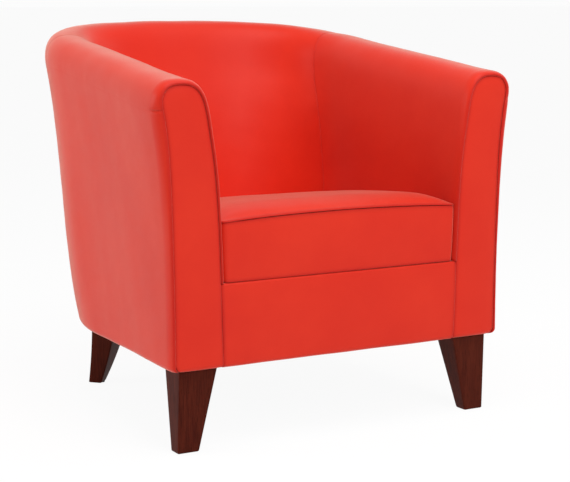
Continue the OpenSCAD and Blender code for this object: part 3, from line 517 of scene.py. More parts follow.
def facingPiece(name, side):
    line = facingOutline()
    peak = int(np.argmax(line[:, 2]))
    outer, inner = line[:peak + 1], line[peak:][::-1]
    topZ, base, lip = tub["armHeight"] - facing["top"], tub["baseHeight"], facing["lip"]
    heights = np.linspace(base + front["turn"], topZ, int((topZ - base) / facing["step"]))
    xOuter, xInner = (np.interp(heights, part[:, 2], part[:, 0]) for part in (outer, inner))
    arch = line[(line[:, 2] > topZ)][:, [0, 2]]
    reach = stepsAlong(arch)
    arch = resampled(arch, reach, np.linspace(0, reach[-1], int(reach[-1] / facing["archStep"]))[1:-1])
    edge = joined([together(xOuter, heights), arch, together(xInner, heights)[::-1]])
    spine = together((xOuter + xInner) / 2, heights)
    spine = joined([spine, np.repeat(spine[-1:], len(arch), 0), spine[::-1]])
    # rows close together by the seam, and even from there to the spine
    length = np.linalg.norm(spine - edge, axis=-1)[:, None]
    close = joined([lip * (1 - np.cos(lipAngles)), facing["near"]])
    rest = np.linspace(0, 1, facing["farRows"])[1:]
    distance = joined([np.tile(close, (len(edge), 1)), close[-1] + (length - close[-1]) * rest], 1)
    flat = mix(edge[:, None, :], spine[:, None, :], (distance / length)[..., None])
    up = stepsAlong(edge)[:, None] + 0 * distance
    y = facing["set"] - facing["rise"] * (1 - np.exp(-distance / facing["soft"])) + lipDepth(distance, lip)
    y = y - facing["gathers"] * gathers(distance, up, facing["gatherReach"])
    grid = together(flat[..., 0], y, flat[..., 1])
    mirror = np.array([side, 1, 1])
    grid[..., 1] += facing["uneven"] * uneven(grid * mirror)
    # the lowest rows turn under the base on a quarter circle, and the outer corner is rounded like the wall
    low = np.radians(np.arange(90, 0, -15))
    shift = together(0 * low, front["turn"] * (1 - np.cos(low)), -front["turn"] * np.sin(low))
    starts, stops = grid[0] + shift[:, None, :], grid[-1] + shift[::-1, None, :]
    cornerIn = roundIn(starts[..., 2] - base, tub["baseRoll"])
    starts[..., 0] -= np.maximum(cornerIn - distance[:1] * facing["cornerKept"], 0)
    under = np.array([0, facing["under"], 0])
    turns = len(shift) + 1
    grid = joined([starts[:1] + under, starts, grid, stops, stops[-1:] + under])
    distance = joined([np.repeat(distance[:1], turns, 0), distance, np.repeat(distance[-1:], turns, 0)])
    back = grid.copy()
    back[turns:-turns, :, 1] = facing["back"]
    for rows in (slice(0, turns), slice(-turns, None)):
        back[rows, :, 1] = np.maximum(back[rows, :, 1] + facing["clear"], facing["back"])
        back[rows, :, 2] = np.maximum(back[rows, :, 2], base + facing["clear"])
    # painted shade along the facing's seam
    seam = bell(distance, front["seam"])
    order = slice(None, None, side)
    return slabPiece(name, (grid * mirror)[order], (back * mirror)[order], seam[order], joinEnd=True)


covers["facingRight"] = facingPiece("facingRight", 1)
covers["facingLeft"] = facingPiece("facingLeft", -1)

# Seat: a crowned pad whose edge turns down to a seam in front and into the wall at the sides and the back
seat = {"set": 3.0, "cornerRadius": 12.0, "cornerPoints": 24, "pastCorner": 0.5, "clear": 1.4,
        "cornerHeight": 423.2, "backHeight": 368.0, "fall": 1.34, "arch": 7.6, "crown": 24.4,
        "powerAcross": 9.0, "powerAlong": 1.8, "middle": 0.12,
        "frontEdge": 2.8, "sideEdge": 11.0, "frontLip": 7.0, "drawIn": 6.0, "bottom": 313.0, "centre": 0.46,
        "band": 11.8, "frontTo": 22.0, "frontOver": 14.0, "counts": (60, 13, 150), "bandRings": 9,
        "bandPower": 1.6, "innerRings": 42, "uneven": 0.5, "gathers": 0.10, "calmCorner": (6.0, 26.0, 30.0),
        "sideShade": 0.6, "sideShadeReach": 5.0, "innerInset": 99.0, "bottomRings": (0.9, 0.6, 0.3, 0.05),
        "sideRings": ((0.5, 0.0), (1.0, 0.0), (1.0, 0.04), (1.0, 0.3), (1.0, 0.6), (1.0, 0.85), (1.0, 1.0))}
stuffing = {"cells": (56, 64), "held": 7.0, "start": 6.0, "frames": 20, "quality": 6, "pressure": 4.0,
            "mass": 0.4, "stiffness": 25.0, "bending": 6.0, "share": 0.35, "power": 0.4, "finer": 4,
            "mean": 7}
seatReach = float(insidePlan(np.array([1.0]), np.array([seat["backHeight"]]))[0, 1])
seatAcross = float(insidePlan(np.array([0.0]), np.array([seat["cornerHeight"]]))[0, 0])


# Height of the seat's edge: it falls as a power of the way back, and the front seam arches in the middle
def seatEdgeHeight(x, y):
    s, c = np.clip(y / seatReach, 0, 1), np.clip(np.abs(x) / seatAcross, 0, 1)
    fallen = mix(seat["cornerHeight"], seat["backHeight"], s ** seat["fall"])
    return fallen + seat["arch"] * (1 - c * c) * (1 - s)


# Right half of the seat's plan: a straight front with a round corner, then along the inside wall at the
# height of the seat's edge
def seatSide():
    u = np.linspace(0, 1, tables["seat"])
    flat = seatPlan(u)
    side = insidePlan(u, seatEdgeHeight(flat[:, 0], flat[:, 1])) - planNormal(seatPlan, u) * seat["clear"]
    radius, across = seat["cornerRadius"], side[0, 0]
    angle = np.radians(np.linspace(0, 90, seat["cornerPoints"]))
    corner = together(across - radius + radius * np.sin(angle), seat["set"] + radius - radius * np.cos(angle))
    return joined([[[0, seat["set"]]], corner, side[side[:, 1] > seat["set"] + radius + seat["pastCorner"]]])


# The whole plan as one loop from the middle of the front, with its points close together round the corners
def seatLoop():
    right = seatSide()
    loop = joined([right, right[::-1][1:] * np.array([-1, 1])])
    reach = stepsAlong(loop)
    bendAt = right[1, 0] + np.array([0, seat["cornerRadius"] * np.pi / 2])
    across, bend, back = seat["counts"]
    places = joined([np.linspace(0, bendAt[0], across)[:-1], np.linspace(bendAt[0], bendAt[1], bend),
                     np.linspace(bendAt[1], reach[-1] / 2, back)[1:]])
    return resampled(loop, reach, joined([places, (reach[-1] - places[::-1])[1:-1]]))


# Outward direction at each point of a loop: from the point before it to the one after, turned a quarter
def loopNormals(loop):
    way = np.roll(loop, -1, 0) - np.roll(loop, 1, 0)
    way = way / np.linalg.norm(way, axis=-1, keepdims=True)
    return together(way[:, 1], -way[:, 0])


# How far each point of the top stands up, as a share: the product of two rounded profiles, 1 - c^p, mixed
# with a sheet sewn down round the seat's plan and stuffed in a cloth simulation with pressure from below.
crownX = np.linspace(-seatAcross, seatAcross, stuffing["cells"][0] + 1)
crownY = np.linspace(0, seatReach, stuffing["cells"][1] + 1)


def stuffedSheet():
    x, y = np.meshgrid(crownX, crownY)
    middle = seat["middle"] * seatReach
    away = np.where(y < middle, (middle - y) / middle, (y - middle) / (seatReach - middle))
    plain = 1 - np.clip(np.abs(x) / seatAcross, 0, 1) ** seat["powerAcross"]
    plain = plain * (1 - np.clip(away, 0, 1) ** seat["powerAlong"])
    edge = seatSide()[1:]
    room = np.interp(y, edge[:, 1], edge[:, 0]) - np.abs(x)
    held = (room < stuffing["held"]) | (y < seat["set"] + stuffing["held"])
    rows, cols = x.shape
    at = np.arange(rows * cols).reshape(rows, cols)
    faces = together(at[:-1, :-1], at[:-1, 1:], at[1:, 1:], at[1:, :-1]).reshape(-1, 4)
    points = together(x, y, np.where(held, 0, stuffing["start"] * plain)).reshape(-1, 3)
    mesh = bpy.data.meshes.new("stuffing")
    mesh.from_pydata(points * mm, [], faces.tolist())
    sheet = bpy.data.objects.new("stuffing", mesh)
    scene.collection.objects.link(sheet)
    sheet.vertex_groups.new(name="sewn").add(np.flatnonzero(held.ravel()).tolist(), 1.0, "REPLACE")
    cloth = sheet.modifiers.new("stuff", "CLOTH").settings
    cloth.vertex_group_mass, cloth.quality, cloth.mass = "sewn", stuffing["quality"], stuffing["mass"]
    cloth.tension_stiffness = cloth.compression_stiffness = stuffing["stiffness"]
    cloth.bending_stiffness = stuffing["bending"]
    cloth.use_pressure, cloth.uniform_pressure_force = True, stuffing["pressure"]
    cloth.effector_weights.gravity = 0
    for step in range(1, stuffing["frames"] + 1):
        scene.frame_set(step)
    found = np.empty(len(points) * 3, np.float32)
    sheet.evaluated_get(bpy.context.evaluated_depsgraph_get()).data.vertices.foreach_get("co", found)
    scene.frame_set(1)
    bpy.data.objects.remove(sheet)
    bpy.data.meshes.remove(mesh)
    height = found.reshape(rows, cols, 3)[..., 2].astype(float)
    print("seat stuffed, highest point", round(float(height.max()) / mm, 1), "mm")
    return mix(plain, np.clip(height / height.max(), 0, 1) ** stuffing["power"], stuffing["share"])


# A grid made finer both ways and rounded by a running mean
def finer(grid):
    times, reach = stuffing["finer"], stuffing["mean"] // 2
    for turn in range(2):
        place = np.linspace(0, grid.shape[0] - 1, times * (grid.shape[0] - 1) + 1)
        low = np.clip(place.astype(int), 0, grid.shape[0] - 2)
        grid = mix(grid[low], grid[low + 1], (place - low)[:, None])
        padded = np.pad(grid, ((reach, reach), (0, 0)), "edge")
        grid = np.mean([padded[i:i + len(grid)] for i in range(stuffing["mean"])], 0).T
    return grid


crownShare = finer(stuffedSheet())


# Height of the seat's top: its edge's height and the crown's share there, read between the cells
def seatTopHeight(x, y):
    rows, cols = crownShare.shape
    atX = np.clip((x / seatAcross + 1) / 2 * (cols - 1), 0, cols - 1.001)
    atY = np.clip(y / seatReach * (rows - 1), 0, rows - 1.001)
    i, j = atY.astype(int), atX.astype(int)
    f, g = atY - i, atX - j
    low = mix(crownShare[i, j], crownShare[i, j + 1], g)
    high = mix(crownShare[i + 1, j], crownShare[i + 1, j + 1], g)
    return seatEdgeHeight(x, y) + seat["crown"] * mix(low, high, f)


# Rings from the seat's middle out to its edge, which turns down on a quarter circle, then down to the bottom,
# drawn in under the front's lip and along the wall, and in again below
def seatPiece():
    loop = seatLoop()
    normals = loopNormals(loop)
    middle = np.array([0, seat["centre"] * seatReach])
    isFront = smooth((seat["frontTo"] - loop[:, 1]) / seat["frontOver"])
    inward, acrossReach, backReach = seat["calmCorner"]
    corner = bell(np.abs(loop[:, 0]) - seatAcross + inward, acrossReach) * bell(loop[:, 1], backReach)
    edge = mix(seat["sideEdge"], seat["frontEdge"], isFront)
    band = np.linspace(0, 1, seat["bandRings"])[1:] ** seat["bandPower"]
    offsets = [edge * (1 - np.cos(a)) for a in lipAngles] + [mix(edge, seat["band"], f) for f in band]
    inner = loop - normals * seat["band"]
    shares = np.linspace(0, 1, seat["innerRings"] + 2)[1:-1]
    plans = [mix(middle, inner, s) for s in shares] + [loop - normals * o[:, None] for o in offsets[::-1]]
    insets = [np.full(len(loop), seat["innerInset"])] * len(shares) + offsets[::-1]
    rings, seams = [], []
    along = stepsAlong(loop)
    for plan, inset in zip(plans, insets):
        z = seatTopHeight(plan[:, 0], plan[:, 1]) - roundIn(inset, edge)
        ring = raised(plan, z)
        ring[:, 2] += seat["uneven"] * uneven(ring) * np.clip(inset / seat["band"], 0, 1)
        ring[:, 2] += seat["gathers"] * gathers(inset, along) * (1 - corner)
        rings.append(ring)
        # painted shade: darker along the front seam, and by sideShade where the edge turns down into the wall
        shade = seat["sideShade"] * np.exp(-inset / seat["sideShadeReach"])
        seams.append(mix(shade, bell(inset, front["seam"]), isFront))
    lowest = rings[-1][:, 2]
    for pull, down in seat["sideRings"]:
        pulled = seat["frontLip"] * isFront * pull + seat["drawIn"] * down * (1 - isFront)
        rings.append(raised(loop - normals * pulled[:, None], mix(lowest, seat["bottom"], down)))
    last = rings[-1]
    rings += [raised(mix(middle, last[:, :2], s), last[:, 2]) for s in seat["bottomRings"]]
    seams += [np.ones(len(loop))] * (len(rings) - len(seams))
    return ringPiece("seatPad", np.array(rings), np.array(seams))


covers["seatPad"] = seatPiece()

# Seat border: the front band of the seat, which goes a little way round both corners and swells between its
# two seams as sin^p of the way up
border = {"lip": 1.5, "below": 2.9, "above": 0.3, "return": 34.0, "swell": 1.6, "swellPower": 0.7,
          "thick": 5.0, "set": 0.4, "step": 4.0, "lean": 0.036, "uneven": 0.4, "gathers": 0.08}


def borderPiece():
    loop = seatLoop()
    normals = loopNormals(loop)
    keep = loop[:, 1] < seat["set"] + border["return"]
    sides = (keep & (loop[:, 0] >= 0), keep & (loop[:, 0] < 0))
    order = joined([np.flatnonzero(part)[::-1] for part in sides])
    plan, way = loop[order], normals[order]
    high = seatEdgeHeight(plan[:, 0], plan[:, 1]) - border["below"]
    low = tub["seatLine"] + border["above"]
    span = np.max(high) - low
    up = spaced(span, border["step"], border["lip"], border["lip"])
    share = up / span
    z = mix(low, high[:, None], share)
    distance = np.minimum(up, span - up)[None, :]
    along = stepsAlong(plan)[:, None]
    out = border["swell"] * np.sin(np.pi * share)[None, :] ** border["swellPower"] - border["set"]
    out = out - lipDepth(distance, border["lip"]) + border["gathers"] * gathers(distance, along)
    out = out + np.abs(way[:, :1]) * (z - seat["cornerHeight"]) * border["lean"]
    plan, way = plan[:, None, :], way[:, None, :]
    face = raised(plan + way * out[..., None], z)
    face[..., :2] += way * border["uneven"] * uneven(face)[..., None]
    back = raised(plan - way * border["thick"], mix(low, high[:, None], np.linspace(0, 1, len(share))))
    # painted shade along both of the border's seams
    seam = bell(distance, front["seam"]) + 0 * out
    return slabPiece("seatBorder", face, back, seam)


covers["seatBorder"] = borderPiece()

# Front rail cover: a band across the front between the facings, rounded at its top and turned under the base,
# that swells as sin^p of the way up
rail = {"half": 255.0, "top": 310.7, "topRadius": 4.5, "bottomRadius": 10.0, "bottom": 153.8, "set": 2.4,
        "lip": 2.0, "thick": 5.0, "swell": 2.0, "swellPower": 0.7, "step": 4.5, "under": 26.0, "over": 6.0,
        "uneven": 0.4, "gathers": 0.08, "gathersBelow": 8.0, "topSeamShade": 3.0}


def railPiece():
    angle = np.radians(np.arange(0, 91, 10))
    base, back = rail["bottom"], rail["set"]
    bottom, top = rail["bottomRadius"], rail["topRadius"]
    lower = together(back + bottom - bottom * np.sin(angle), base + bottom - bottom * np.cos(angle))
    upper = together(back + top - top * np.cos(angle), rail["top"] - top + top * np.sin(angle))
    steps = np.linspace(0, 1, int((rail["top"] - base - bottom - top) / rail["step"]))[1:-1]
    straight = mix(lower[-1], upper[0], steps[:, None])
    straight[:, 0] -= rail["swell"] * np.sin(np.pi * steps) ** rail["swellPower"]
    line = joined([[[back + rail["under"], base]], lower, straight, upper,
                   [[back + top + rail["over"], rail["top"]]]])
    # both ends follow the facings' seams
    outline = facingOutline()
    inner = outline[int(np.argmax(outline[:, 2])):][::-1]
    half = np.interp(line[:, 1], inner[:, 2], inner[:, 0]) - front["gap"]
    place = spaced(2 * rail["half"], rail["step"], rail["lip"], rail["lip"])
    x = (rail["half"] - place)[:, None] * (half / rail["half"])[None, :]
    grid = together(x, line[:, 0], line[:, 1])
    normal = gridNormals(grid)
    distance = half[None, :] - np.abs(x)
    up = stepsAlong(grid, 1)
    fromTop = up[:, -1:] - rail["over"] - up
    pulls = gathers(distance, up) + gathers(np.abs(fromTop - rail["gathersBelow"]), x)
    rise = rail["uneven"] * uneven(grid) + rail["gathers"] * pulls
    face = grid + normal * (rise - lipDepth(distance, rail["lip"]))[..., None]
    under = grid - normal * rail["thick"]
    under[..., 0] = np.linspace(1, -1, len(x))[:, None] * half
    # painted shade along the seams at the ends and along the top seam
    topSeamShade = bell(np.maximum(fromTop, 0), rail["topSeamShade"])
    seam = np.maximum(bell(distance, front["seam"]), topSeamShade)
    return slabPiece("frontRailCover", face, under, seam)


covers["frontRailCover"] = railPiece()

# Legs: a rounded rectangle that tapers to the foot, whose front face slopes back a little. The rear ones turn
# to follow the wall, sweep outward at the foot, and draw in as 1 - (1 - s)^p.
leg = {"edge": 2.6, "bevel": 1.2, "lift": 0.2, "levels": 40, "cornerPoints": 7,
       "frontTop": (77.0, 62.0), "frontFoot": (43.0, 30.0), "frontAt": (340.0, 13.0),
       "frontSlope": (1.5, 6.0), "rearTop": (74.0, 56.0), "rearFoot": (24.0, 29.0),
       "rearAt": (262.5, 605.5), "rearTurn": 42.0, "rearSweep": 10.0, "drawPower": 1.35}


# A rectangle with rounded corners, anticlockwise from its front right corner
def roundedBox(x0, x1, y0, y1, radius):
    count = leg["cornerPoints"]
    angle, between = np.radians(np.linspace(0, 90, count)), np.linspace(0, 1, count)[1:-1, None]
    corners = ((x1 - radius, y0 + radius, -90), (x1 - radius, y1 - radius, 0), (x0 + radius, y1 - radius, 90),
               (x0 + radius, y0 + radius, 180))
    rounds = []
    for x, y, turn in corners:
        around = angle + np.radians(turn)
        rounds.append(together(x + radius * np.cos(around), y + radius * np.sin(around)))
    pairs = zip(rounds, rounds[1:] + rounds[:1])
    return joined([part for now, after in pairs for part in (now, mix(now[-1], after[0], between))])


def legPiece(name, side, rear):
    foot, top, at = (np.array(leg[("rear" if rear else "front") + end]) for end in ("Foot", "Top", "At"))
    base, lift, edge = tub["baseHeight"], leg["lift"], leg["edge"]
    shares = joined([[0], np.linspace(0, 1, leg["levels"])])
    rings = []
    for i, s in enumerate(shares):
        z = mix(lift, base, s) + (leg["bevel"] if i == 1 else 0)
        shrink = leg["bevel"] if i == 0 else 0
        across, deep = mix(foot, top, 1 - (1 - s) ** leg["drawPower"] if rear else s)
        if rear:
            sweep = leg["rearSweep"] * (1 - s) ** 2
            e = roundedBox(shrink, across - shrink, -sweep + shrink, deep - sweep - shrink, edge)
            cos, sin = math.cos(math.radians(leg["rearTurn"])), math.sin(math.radians(leg["rearTurn"]))
            x, y = at[0] - e[:, 0] * cos - e[:, 1] * sin, at[1] + e[:, 0] * sin - e[:, 1] * cos
        else:
            x1, y0 = at + np.array(leg["frontSlope"]) * (1 - s)
            x, y = roundedBox(x1 - across + shrink, x1 - shrink, y0 + shrink, y0 + deep - shrink, edge).T
        rings.append(together(x * side, y, z))
    rings = np.array(rings)[::-1]
    x, y = rings[0, :, :2].T
    area = np.sum(x * np.roll(y, -1) - np.roll(x, -1) * y)
    return ringPiece(name, rings[:, ::-1] if area < 0 else rings)


legs = {name: legPiece(name, side, rear) for name, side, rear in (
    ("legFrontLeft", -1, False), ("legFrontRight", 1, False),
    ("legRearLeft", -1, True), ("legRearRight", 1, True))}
print("meshes made")


# A socket with the sums that the materials use, which go through Math nodes. Colours go through mixColour.
class Socket:
    def __init__(self, graph, socket):
        self.graph, self.socket = graph, socket

    def math(self, operation, other, swapped=False):
        values = (other, self) if swapped else (self, other)
        return self.graph.node("ShaderNodeMath", {"operation": operation}, {0: values[0], 1: values[1]})

    def __add__(self, other):
        return self.math("ADD", other)

    def __radd__(self, other):
        return self.math("ADD", other, True)

    def __sub__(self, other):
        return self.math("SUBTRACT", other)

    def __rsub__(self, other):
        return self.math("SUBTRACT", other, True)

    def __mul__(self, other):
        return self.math("MULTIPLY", other)

    def __rmul__(self, other):
        return self.math("MULTIPLY", other, True)


# A node tree to build in. node makes any node, from its type, its settings and its sockets' values or links.
class Graph:
    def __init__(self, tree):
        self.tree = tree

    def node(self, kind, settings=None, sockets=None, out=0):
        made = self.tree.nodes.new(kind)
        for key, value in (settings or {}).items():
            setattr(made, key, value)
        for key, value in (sockets or {}).items():
            self.link(made.inputs[key], value)
        return Socket(self, made.outputs[out])

    def link(self, target, value):
        if isinstance(value, Socket):
            self.tree.links.new(value.socket, target)
        else:
            target.default_value = (*value, 1) if target.type == "RGBA" else value

    # 1 for rays from the camera, in reflections and through glass
    def seenRays(self):
        camera, glossy, through = (self.node("ShaderNodeLightPath", out=f"Is {kind} Ray")
                                   for kind in ("Camera", "Glossy", "Transmission"))
        return camera + glossy + through


# A material and the nodes that its finish is made of. set feeds the shader's sockets, and place gives the
# piece's own coordinates, drawn out by a scale.
class Finish(Graph):
    def __init__(self, name):
        self.material = bpy.data.materials.new(name)
        self.material.use_nodes = True
        super().__init__(self.material.node_tree)
        self.shader = self.tree.nodes["Principled BSDF"]
        self.output = self.tree.nodes["Material Output"]

    def set(self, **values):
        for key, value in values.items():
            self.link(self.shader.inputs[key.replace("_", " ")], value)

    def place(self, scale=(1, 1, 1)):
        where = self.node("ShaderNodeTexCoord", out=3)
        return self.node("ShaderNodeMapping", None, {"Vector": where, "Scale": scale})

    def noise(self, where, scale, detail=2.0, roughness=0.5, distortion=0.0):
        return self.node("ShaderNodeTexNoise", None, {"Vector": where, "Scale": scale, "Detail": detail,
                                                      "Roughness": roughness, "Distortion": distortion})

    def mixColour(self, share, a, b):
        return self.node("ShaderNodeMix", {"data_type": "RGBA"}, {0: share, 6: a, 7: b}, out=2)

    def remap(self, value, low, high, toLow=0.0, toHigh=1.0):
        return self.node("ShaderNodeMapRange", {"clamp": True},
                         {0: value, 1: low, 2: high, 3: toLow, 4: toHigh})

    def bump(self, height, distance, strength):
        return self.node("ShaderNodeBump", None,
                         {"Height": height, "Distance": distance, "Strength": strength})

    def attribute(self, name):
        return self.node("ShaderNodeAttribute", {"attribute_name": name}, out=2)


# The same hue with a share of its light
def dimmed(colour, share):
    return tuple(share * part for part in colour)


# Leather: a pebbled grain of rounded cells between fine creases, with painted shade in the creases and along
# the seams, a slow drift of tone, and a touch paler and smoother where hands rub the rim, with a warm sheen
leather = {"tone": (0.750, 0.033, 0.013), "deep": (0.705, 0.026, 0.011), "rubbed": (0.765, 0.041, 0.021),
           "seam": (0.44, 0.007, 0.006), "seamShare": 0.55, "drift": 5.5, "mottle": 46.0, "warp": 90.0,
           "grain": 620.0, "pores": 1900.0, "grainDepth": 0.00006, "rough": 0.42}
leatherSheen = {"Coat_Weight": 0.04, "Coat_Roughness": 0.3, "Specular_IOR_Level": 0.13, "Sheen_Weight": 0.68,
                "Sheen_Roughness": 0.32, "Sheen_Tint": (1.0, 0.76, 0.60)}


def leatherFinish(name):
    f = Finish(name)
    where = f.place()
    drift = f.noise(where, leather["drift"], 3.0, 0.55)
    mottle = f.noise(where, leather["mottle"], 4.0, 0.6)
    warp = f.noise(where, leather["warp"])
    cells = f.node("ShaderNodeTexVoronoi", {"feature": "DISTANCE_TO_EDGE"},
                   {"Vector": where, "Scale": leather["grain"]})
    pebble = f.remap(cells, 0.0, 0.28)
    pores = f.noise(where, leather["pores"])
    seam, wear = f.attribute("seam"), f.attribute("wear")
    tone = f.mixColour(f.remap(drift, 0.35, 0.68), leather["tone"], leather["deep"])
    tone = f.mixColour(f.remap(mottle, 0.4, 0.8, 0.0, 0.25), tone, leather["deep"])
    tone = f.mixColour(wear * f.remap(drift, 0.3, 0.7, 0.1, 0.5), tone, leather["rubbed"])
    # painted shade in the creases between the grain's cells
    tone = f.mixColour(f.remap(pebble, 0.0, 1.0, 0.10, 0.0), tone, leather["seam"])
    # painted shade along the seams, from the seam attribute
    tone = f.mixColour(seam * leather["seamShare"], tone, leather["seam"])
    rough = leather["rough"] + (mottle - 0.5) * 0.14 - wear * 0.04 + (1 - pebble) * 0.07 + seam * 0.12
    fine = f.bump(pebble * 0.8 + pores * 0.25 + warp * 0.2, leather["grainDepth"], 0.5)
    f.set(Base_Color=tone, Roughness=rough, Normal=fine, **leatherSheen)
    return f.material


# Timber: rings stretched along the leg, light streaks, short dark pores, and a satin lacquer
legLook = {"tone": (0.090, 0.0135, 0.0062), "dark": (0.052, 0.0072, 0.0036), "light": (0.135, 0.024, 0.011),
           "rough": 0.42, "specular": 0.045}
beechLook = {"tone": (0.62, 0.38, 0.20), "dark": (0.48, 0.27, 0.13), "light": (0.72, 0.50, 0.30),
             "rough": 0.6, "specular": 0.4}
timber = {"bend": 14.0, "rings": 95.0, "ringsAlong": 0.10, "streaks": 420.0, "streaksAlong": 0.02,
          "pores": 950.0, "poresAlong": 0.045, "relief": 0.00010}


def timberFinish(name, look):
    f = Finish(name)
    where = f.place((1.0, 1.0, timber["ringsAlong"]))
    bend = f.noise(where, timber["bend"])
    rings = f.noise(where, timber["rings"], 4.0, 0.62, 1.2)
    streaks = f.noise(f.place((1.0, 1.0, timber["streaksAlong"])), timber["streaks"], 3.0, 0.6)
    pores = f.noise(f.place((1.0, 1.0, timber["poresAlong"])), timber["pores"], 1.0)
    pores = f.remap(pores, 0.60, 0.72)
    colour = f.mixColour(f.remap(rings, 0.35, 0.66), look["dark"], look["tone"])
    colour = f.mixColour(f.remap(streaks, 0.45, 0.8, 0.0, 0.45), colour, look["light"])
    colour = f.mixColour(f.remap(bend, 0.45, 0.7, 0.0, 0.35), colour, look["light"])
    colour = f.mixColour(pores * 0.6, colour, dimmed(look["dark"], 0.4))
    relief = f.bump(rings * 0.3 - pores + streaks * 0.2, timber["relief"], 0.5)
    f.set(Base_Color=colour, Roughness=look["rough"] + (rings - 0.5) * 0.14 + pores * 0.15, Normal=relief,
          Specular_IOR_Level=look["specular"])
    return f.material


# Woven or felted cloth: two crossed sets of threads, or a felt where threads is 0, with painted shade where
# it lies low
webbingLook = {"tone": (0.035, 0.035, 0.038), "threads": 260.0, "rough": 0.8}
liningLook = {"tone": (0.014, 0.014, 0.015), "threads": 0, "rough": 0.9}
waddingLook = {"tone": (0.84, 0.84, 0.80), "threads": 0, "rough": 0.95}
weave = {"fuzz": 900.0, "felt": 160.0, "wander": 0.4, "relief": 0.0004}


def clothFinish(name, look):
    f = Finish(name)
    where = f.place()
    fuzz = f.noise(where, weave["fuzz"], 3.0, 0.7)
    if look["threads"]:
        threads = {"Vector": where, "Scale": look["threads"], "Distortion": weave["wander"]}
        across, along = (f.node("ShaderNodeTexWave", {"bands_direction": way}, threads) for way in "XY")
        height = across * 0.5 + along * 0.5 + fuzz * 0.3
    else:
        height = fuzz + f.noise(where, weave["felt"], 3.0) * 0.8
    # painted shade where the weave or the felt lies low
    colour = f.mixColour(f.remap(height, 0.2, 1.1), dimmed(look["tone"], 0.6), look["tone"])
    f.set(Base_Color=colour, Roughness=look["rough"] + (fuzz - 0.5) * 0.1,
          Normal=f.bump(height, weave["relief"], 0.7))
    return f.material


# Foam: fine open cells, with painted shade in their hollows
foamLook = {"tone": (0.86, 0.78, 0.55), "hollowShade": (0.55, 0.47, 0.30), "cells": 900.0, "rough": 0.92,
            "relief": 0.0006}


def foamFinish(name):
    f = Finish(name)
    cells = f.node("ShaderNodeTexVoronoi", {"feature": "F1"},
                   {"Vector": f.place(), "Scale": foamLook["cells"]})
    # painted shade in the cells' hollows
    colour = f.mixColour(f.remap(cells, 0.0, 0.7), foamLook["hollowShade"], foamLook["tone"])
    f.set(Base_Color=colour, Roughness=foamLook["rough"] - cells * 0.1,
          Normal=f.bump(cells, foamLook["relief"], 0.8))
    return f.material


# Hard surfaces: a fine noise, drawn out along the piece in steel, in the tone, the roughness and the relief
steelLook = {"low": (0.52, 0.53, 0.55), "high": (0.68, 0.69, 0.71), "scale": 1400.0, "detail": 3.0,
             "along": 0.05, "rough": 0.28, "rougher": 0.16, "metallic": 1.0, "relief": 0.00003,
             "strength": 0.4}
nylonLook = {"low": (0.055, 0.055, 0.057), "high": (0.085, 0.085, 0.088), "scale": 1500.0, "detail": 2.0,
             "along": 1.0, "rough": 0.5, "rougher": 0.1, "metallic": 0.0, "relief": 0.00006,
             "strength": 0.5}


def hardFinish(name, look):
    f = Finish(name)
    grain = f.noise(f.place((1.0, 1.0, look["along"])), look["scale"], look["detail"])
    f.set(Base_Color=f.mixColour(grain, look["low"], look["high"]), Metallic=look["metallic"],
          Roughness=look["rough"] + grain * look["rougher"],
          Normal=f.bump(grain, look["relief"], look["strength"]))
    return f.material


coverLeather = leatherFinish("coralLeather")
legTimber = timberFinish("stainedLegTimber", legLook)
beech = timberFinish("frameBeech", beechLook)
webbing = clothFinish("blackWebbing", webbingLook)
lining = clothFinish("blackLining", liningLook)
wadding = clothFinish("whiteWadding", waddingLook)
foam = foamFinish("creamFoam")
steel = hardFinish("zincSteel", steelLook)
nylon = hardFinish("glideNylon", nylonLook)


# One material all over a piece
def dress(piece, material):
    piece.data.materials.clear()
    piece.data.materials.append(material)


# What each cover stands for and how full it is, and which leg each leg stands for
coverStandsFor = {
    "insideBack": (("inside_back_cover", "back_foam"), 0.75),
    "insideArmLeft": (("left_inside_arm_cover", "left_arm_foam"), 0.75),
    "insideArmRight": (("right_inside_arm_cover", "right_arm_foam"), 0.75),
    "outsideCover": (("outside_cover", "outside_wadding"), 0.9),
    "facingLeft": (("left_arm_facing",), 0.85),
    "facingRight": (("right_arm_facing",), 0.85),
    "seatPad": (("seat_top_cover", "seat_foam"), 0.8),
    "seatBorder": (("seat_border",), 0.8),
    "frontRailCover": (("front_rail_cover", "front_wadding"), 0.85),
}
legStandsFor = {"legFrontLeft": "front_left_leg", "legFrontRight": "front_right_leg",
                "legRearLeft": "rear_left_leg", "legRearRight": "rear_right_leg"}


def fitPiece(piece, material, nodes):
    dress(piece, material)
    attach(piece, "root")
    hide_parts(*nodes)


for name, (nodes, fill) in coverStandsFor.items():
    fitPiece(covers[name], coverLeather, nodes)
for name, node in legStandsFor.items():
    fitPiece(legs[name], legTimber, (node,))

finishOfSlot = {"frame_timber": beech, "webbing": webbing, "lining_cloth": lining, "wadding": wadding,
                "foam": foam, "steel": steel, "glide": nylon, "cover": coverLeather, "leg_timber": legTimber}
for part in frame["record"]["subparts"]:
    dress(frame["nodes"][part["node"]], finishOfSlot[part["material_slot"]])
print("pieces dressed")

# Camera at the photograph's viewing angle
view = {"at": (-1.54783, -2.89024, 0.81524), "down": 8.630, "turn": 29.626, "sensor": 36.0, "lens": 99.782,
        "far": 300.0}
cameraData = bpy.data.cameras.new("camera")
cameraData.sensor_width, cameraData.lens, cameraData.clip_end = view["sensor"], view["lens"], view["far"]
camera = bpy.data.objects.new("camera", cameraData)
camera.location = view["at"]
camera.rotation_euler = (math.radians(90 - view["down"]), 0, math.radians(-view["turn"]))
scene.collection.objects.link(camera)
scene.camera = camera

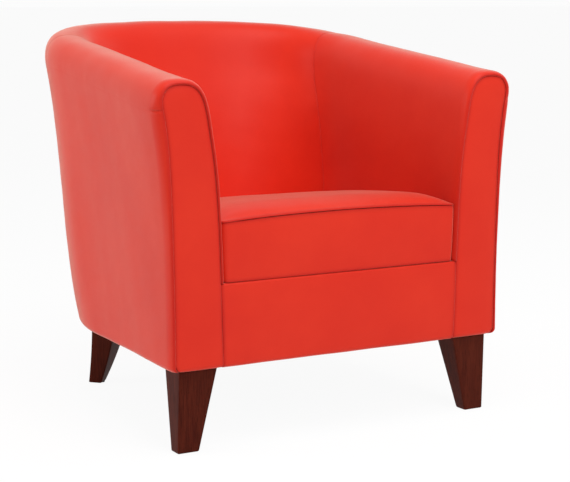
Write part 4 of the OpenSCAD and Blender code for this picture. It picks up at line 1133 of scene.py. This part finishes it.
# Floor: to the camera and in reflections it is nearly white by itself and takes a faint shadow. Other rays
# see a pale diffuse floor.
floorLook = {"size": 200.0, "glow": 0.92, "tone": 0.90, "rough": 0.9, "white": 1.014}
floorMesh = bpy.data.meshes.new("floor")
reach = floorLook["size"]
corners = [(-reach, -reach, 0), (reach, -reach, 0), (reach, reach, 0), (-reach, reach, 0)]
floorMesh.from_pydata(corners, [], [(0, 1, 2, 3)])
floor = bpy.data.objects.new("floor", floorMesh)
scene.collection.objects.link(floor)
f = Finish("paleFloor")
f.set(Base_Color=(floorLook["tone"],) * 3, Roughness=floorLook["rough"], Specular_IOR_Level=0.0)
glow = f.node("ShaderNodeEmission", None, {"Color": (1, 1, 1), "Strength": floorLook["white"]})
share = f.node("ShaderNodeMath", {"operation": "MULTIPLY", "use_clamp": True},
               {0: f.seenRays(), 1: floorLook["glow"]})
both = f.node("ShaderNodeMixShader", None, {0: share, 1: Socket(f, f.shader.outputs[0]), 2: glow})
f.link(f.output.inputs["Surface"], both)
dress(floor, f.material)

# World: white to the camera, in reflections and through glass, a plain grey light otherwise
sky = {"seen": 0.973, "light": 0.32}
scene.world = bpy.data.worlds.new("studio")
scene.world.use_nodes = True
studio = Graph(scene.world.node_tree)
background = studio.tree.nodes["Background"]
strength = studio.node("ShaderNodeMix", None, {0: studio.seenRays(), 2: sky["light"], 3: sky["seen"]})
studio.link(background.inputs["Color"], (1, 1, 1))
studio.link(background.inputs["Strength"], strength)

# Studio lights, all large and soft: in front, above, at the left and a weak one at the right
lamps = {
    "keyLamp": {"at": (0.3, -3.3, 2.2), "size": 1.8, "watts": 37.0},
    "topLamp": {"at": (-0.1, -1.1, 2.8), "size": 2.0, "watts": 45.0},
    "leftLamp": {"at": (-3.0, 1.2, 1.1), "size": 1.6, "watts": 38.0},
    "rightLamp": {"at": (3.0, -0.4, 1.3), "size": 1.6, "watts": 12.0},
}
target = np.array([0.0, 0.0, 0.4])
for name, lamp in lamps.items():
    data = bpy.data.lights.new(name, "AREA")
    data.shape, data.size, data.energy = "SQUARE", lamp["size"], lamp["watts"]
    lampObject = bpy.data.objects.new(name, data)
    lampObject.location = lamp["at"]
    way = target - np.array(lamp["at"])
    flat = math.hypot(way[0], way[1])
    lampObject.rotation_euler = (math.atan2(flat, -way[2]), 0, math.atan2(-way[0], way[1]))
    scene.collection.objects.link(lampObject)
print("camera, floor and lights set")
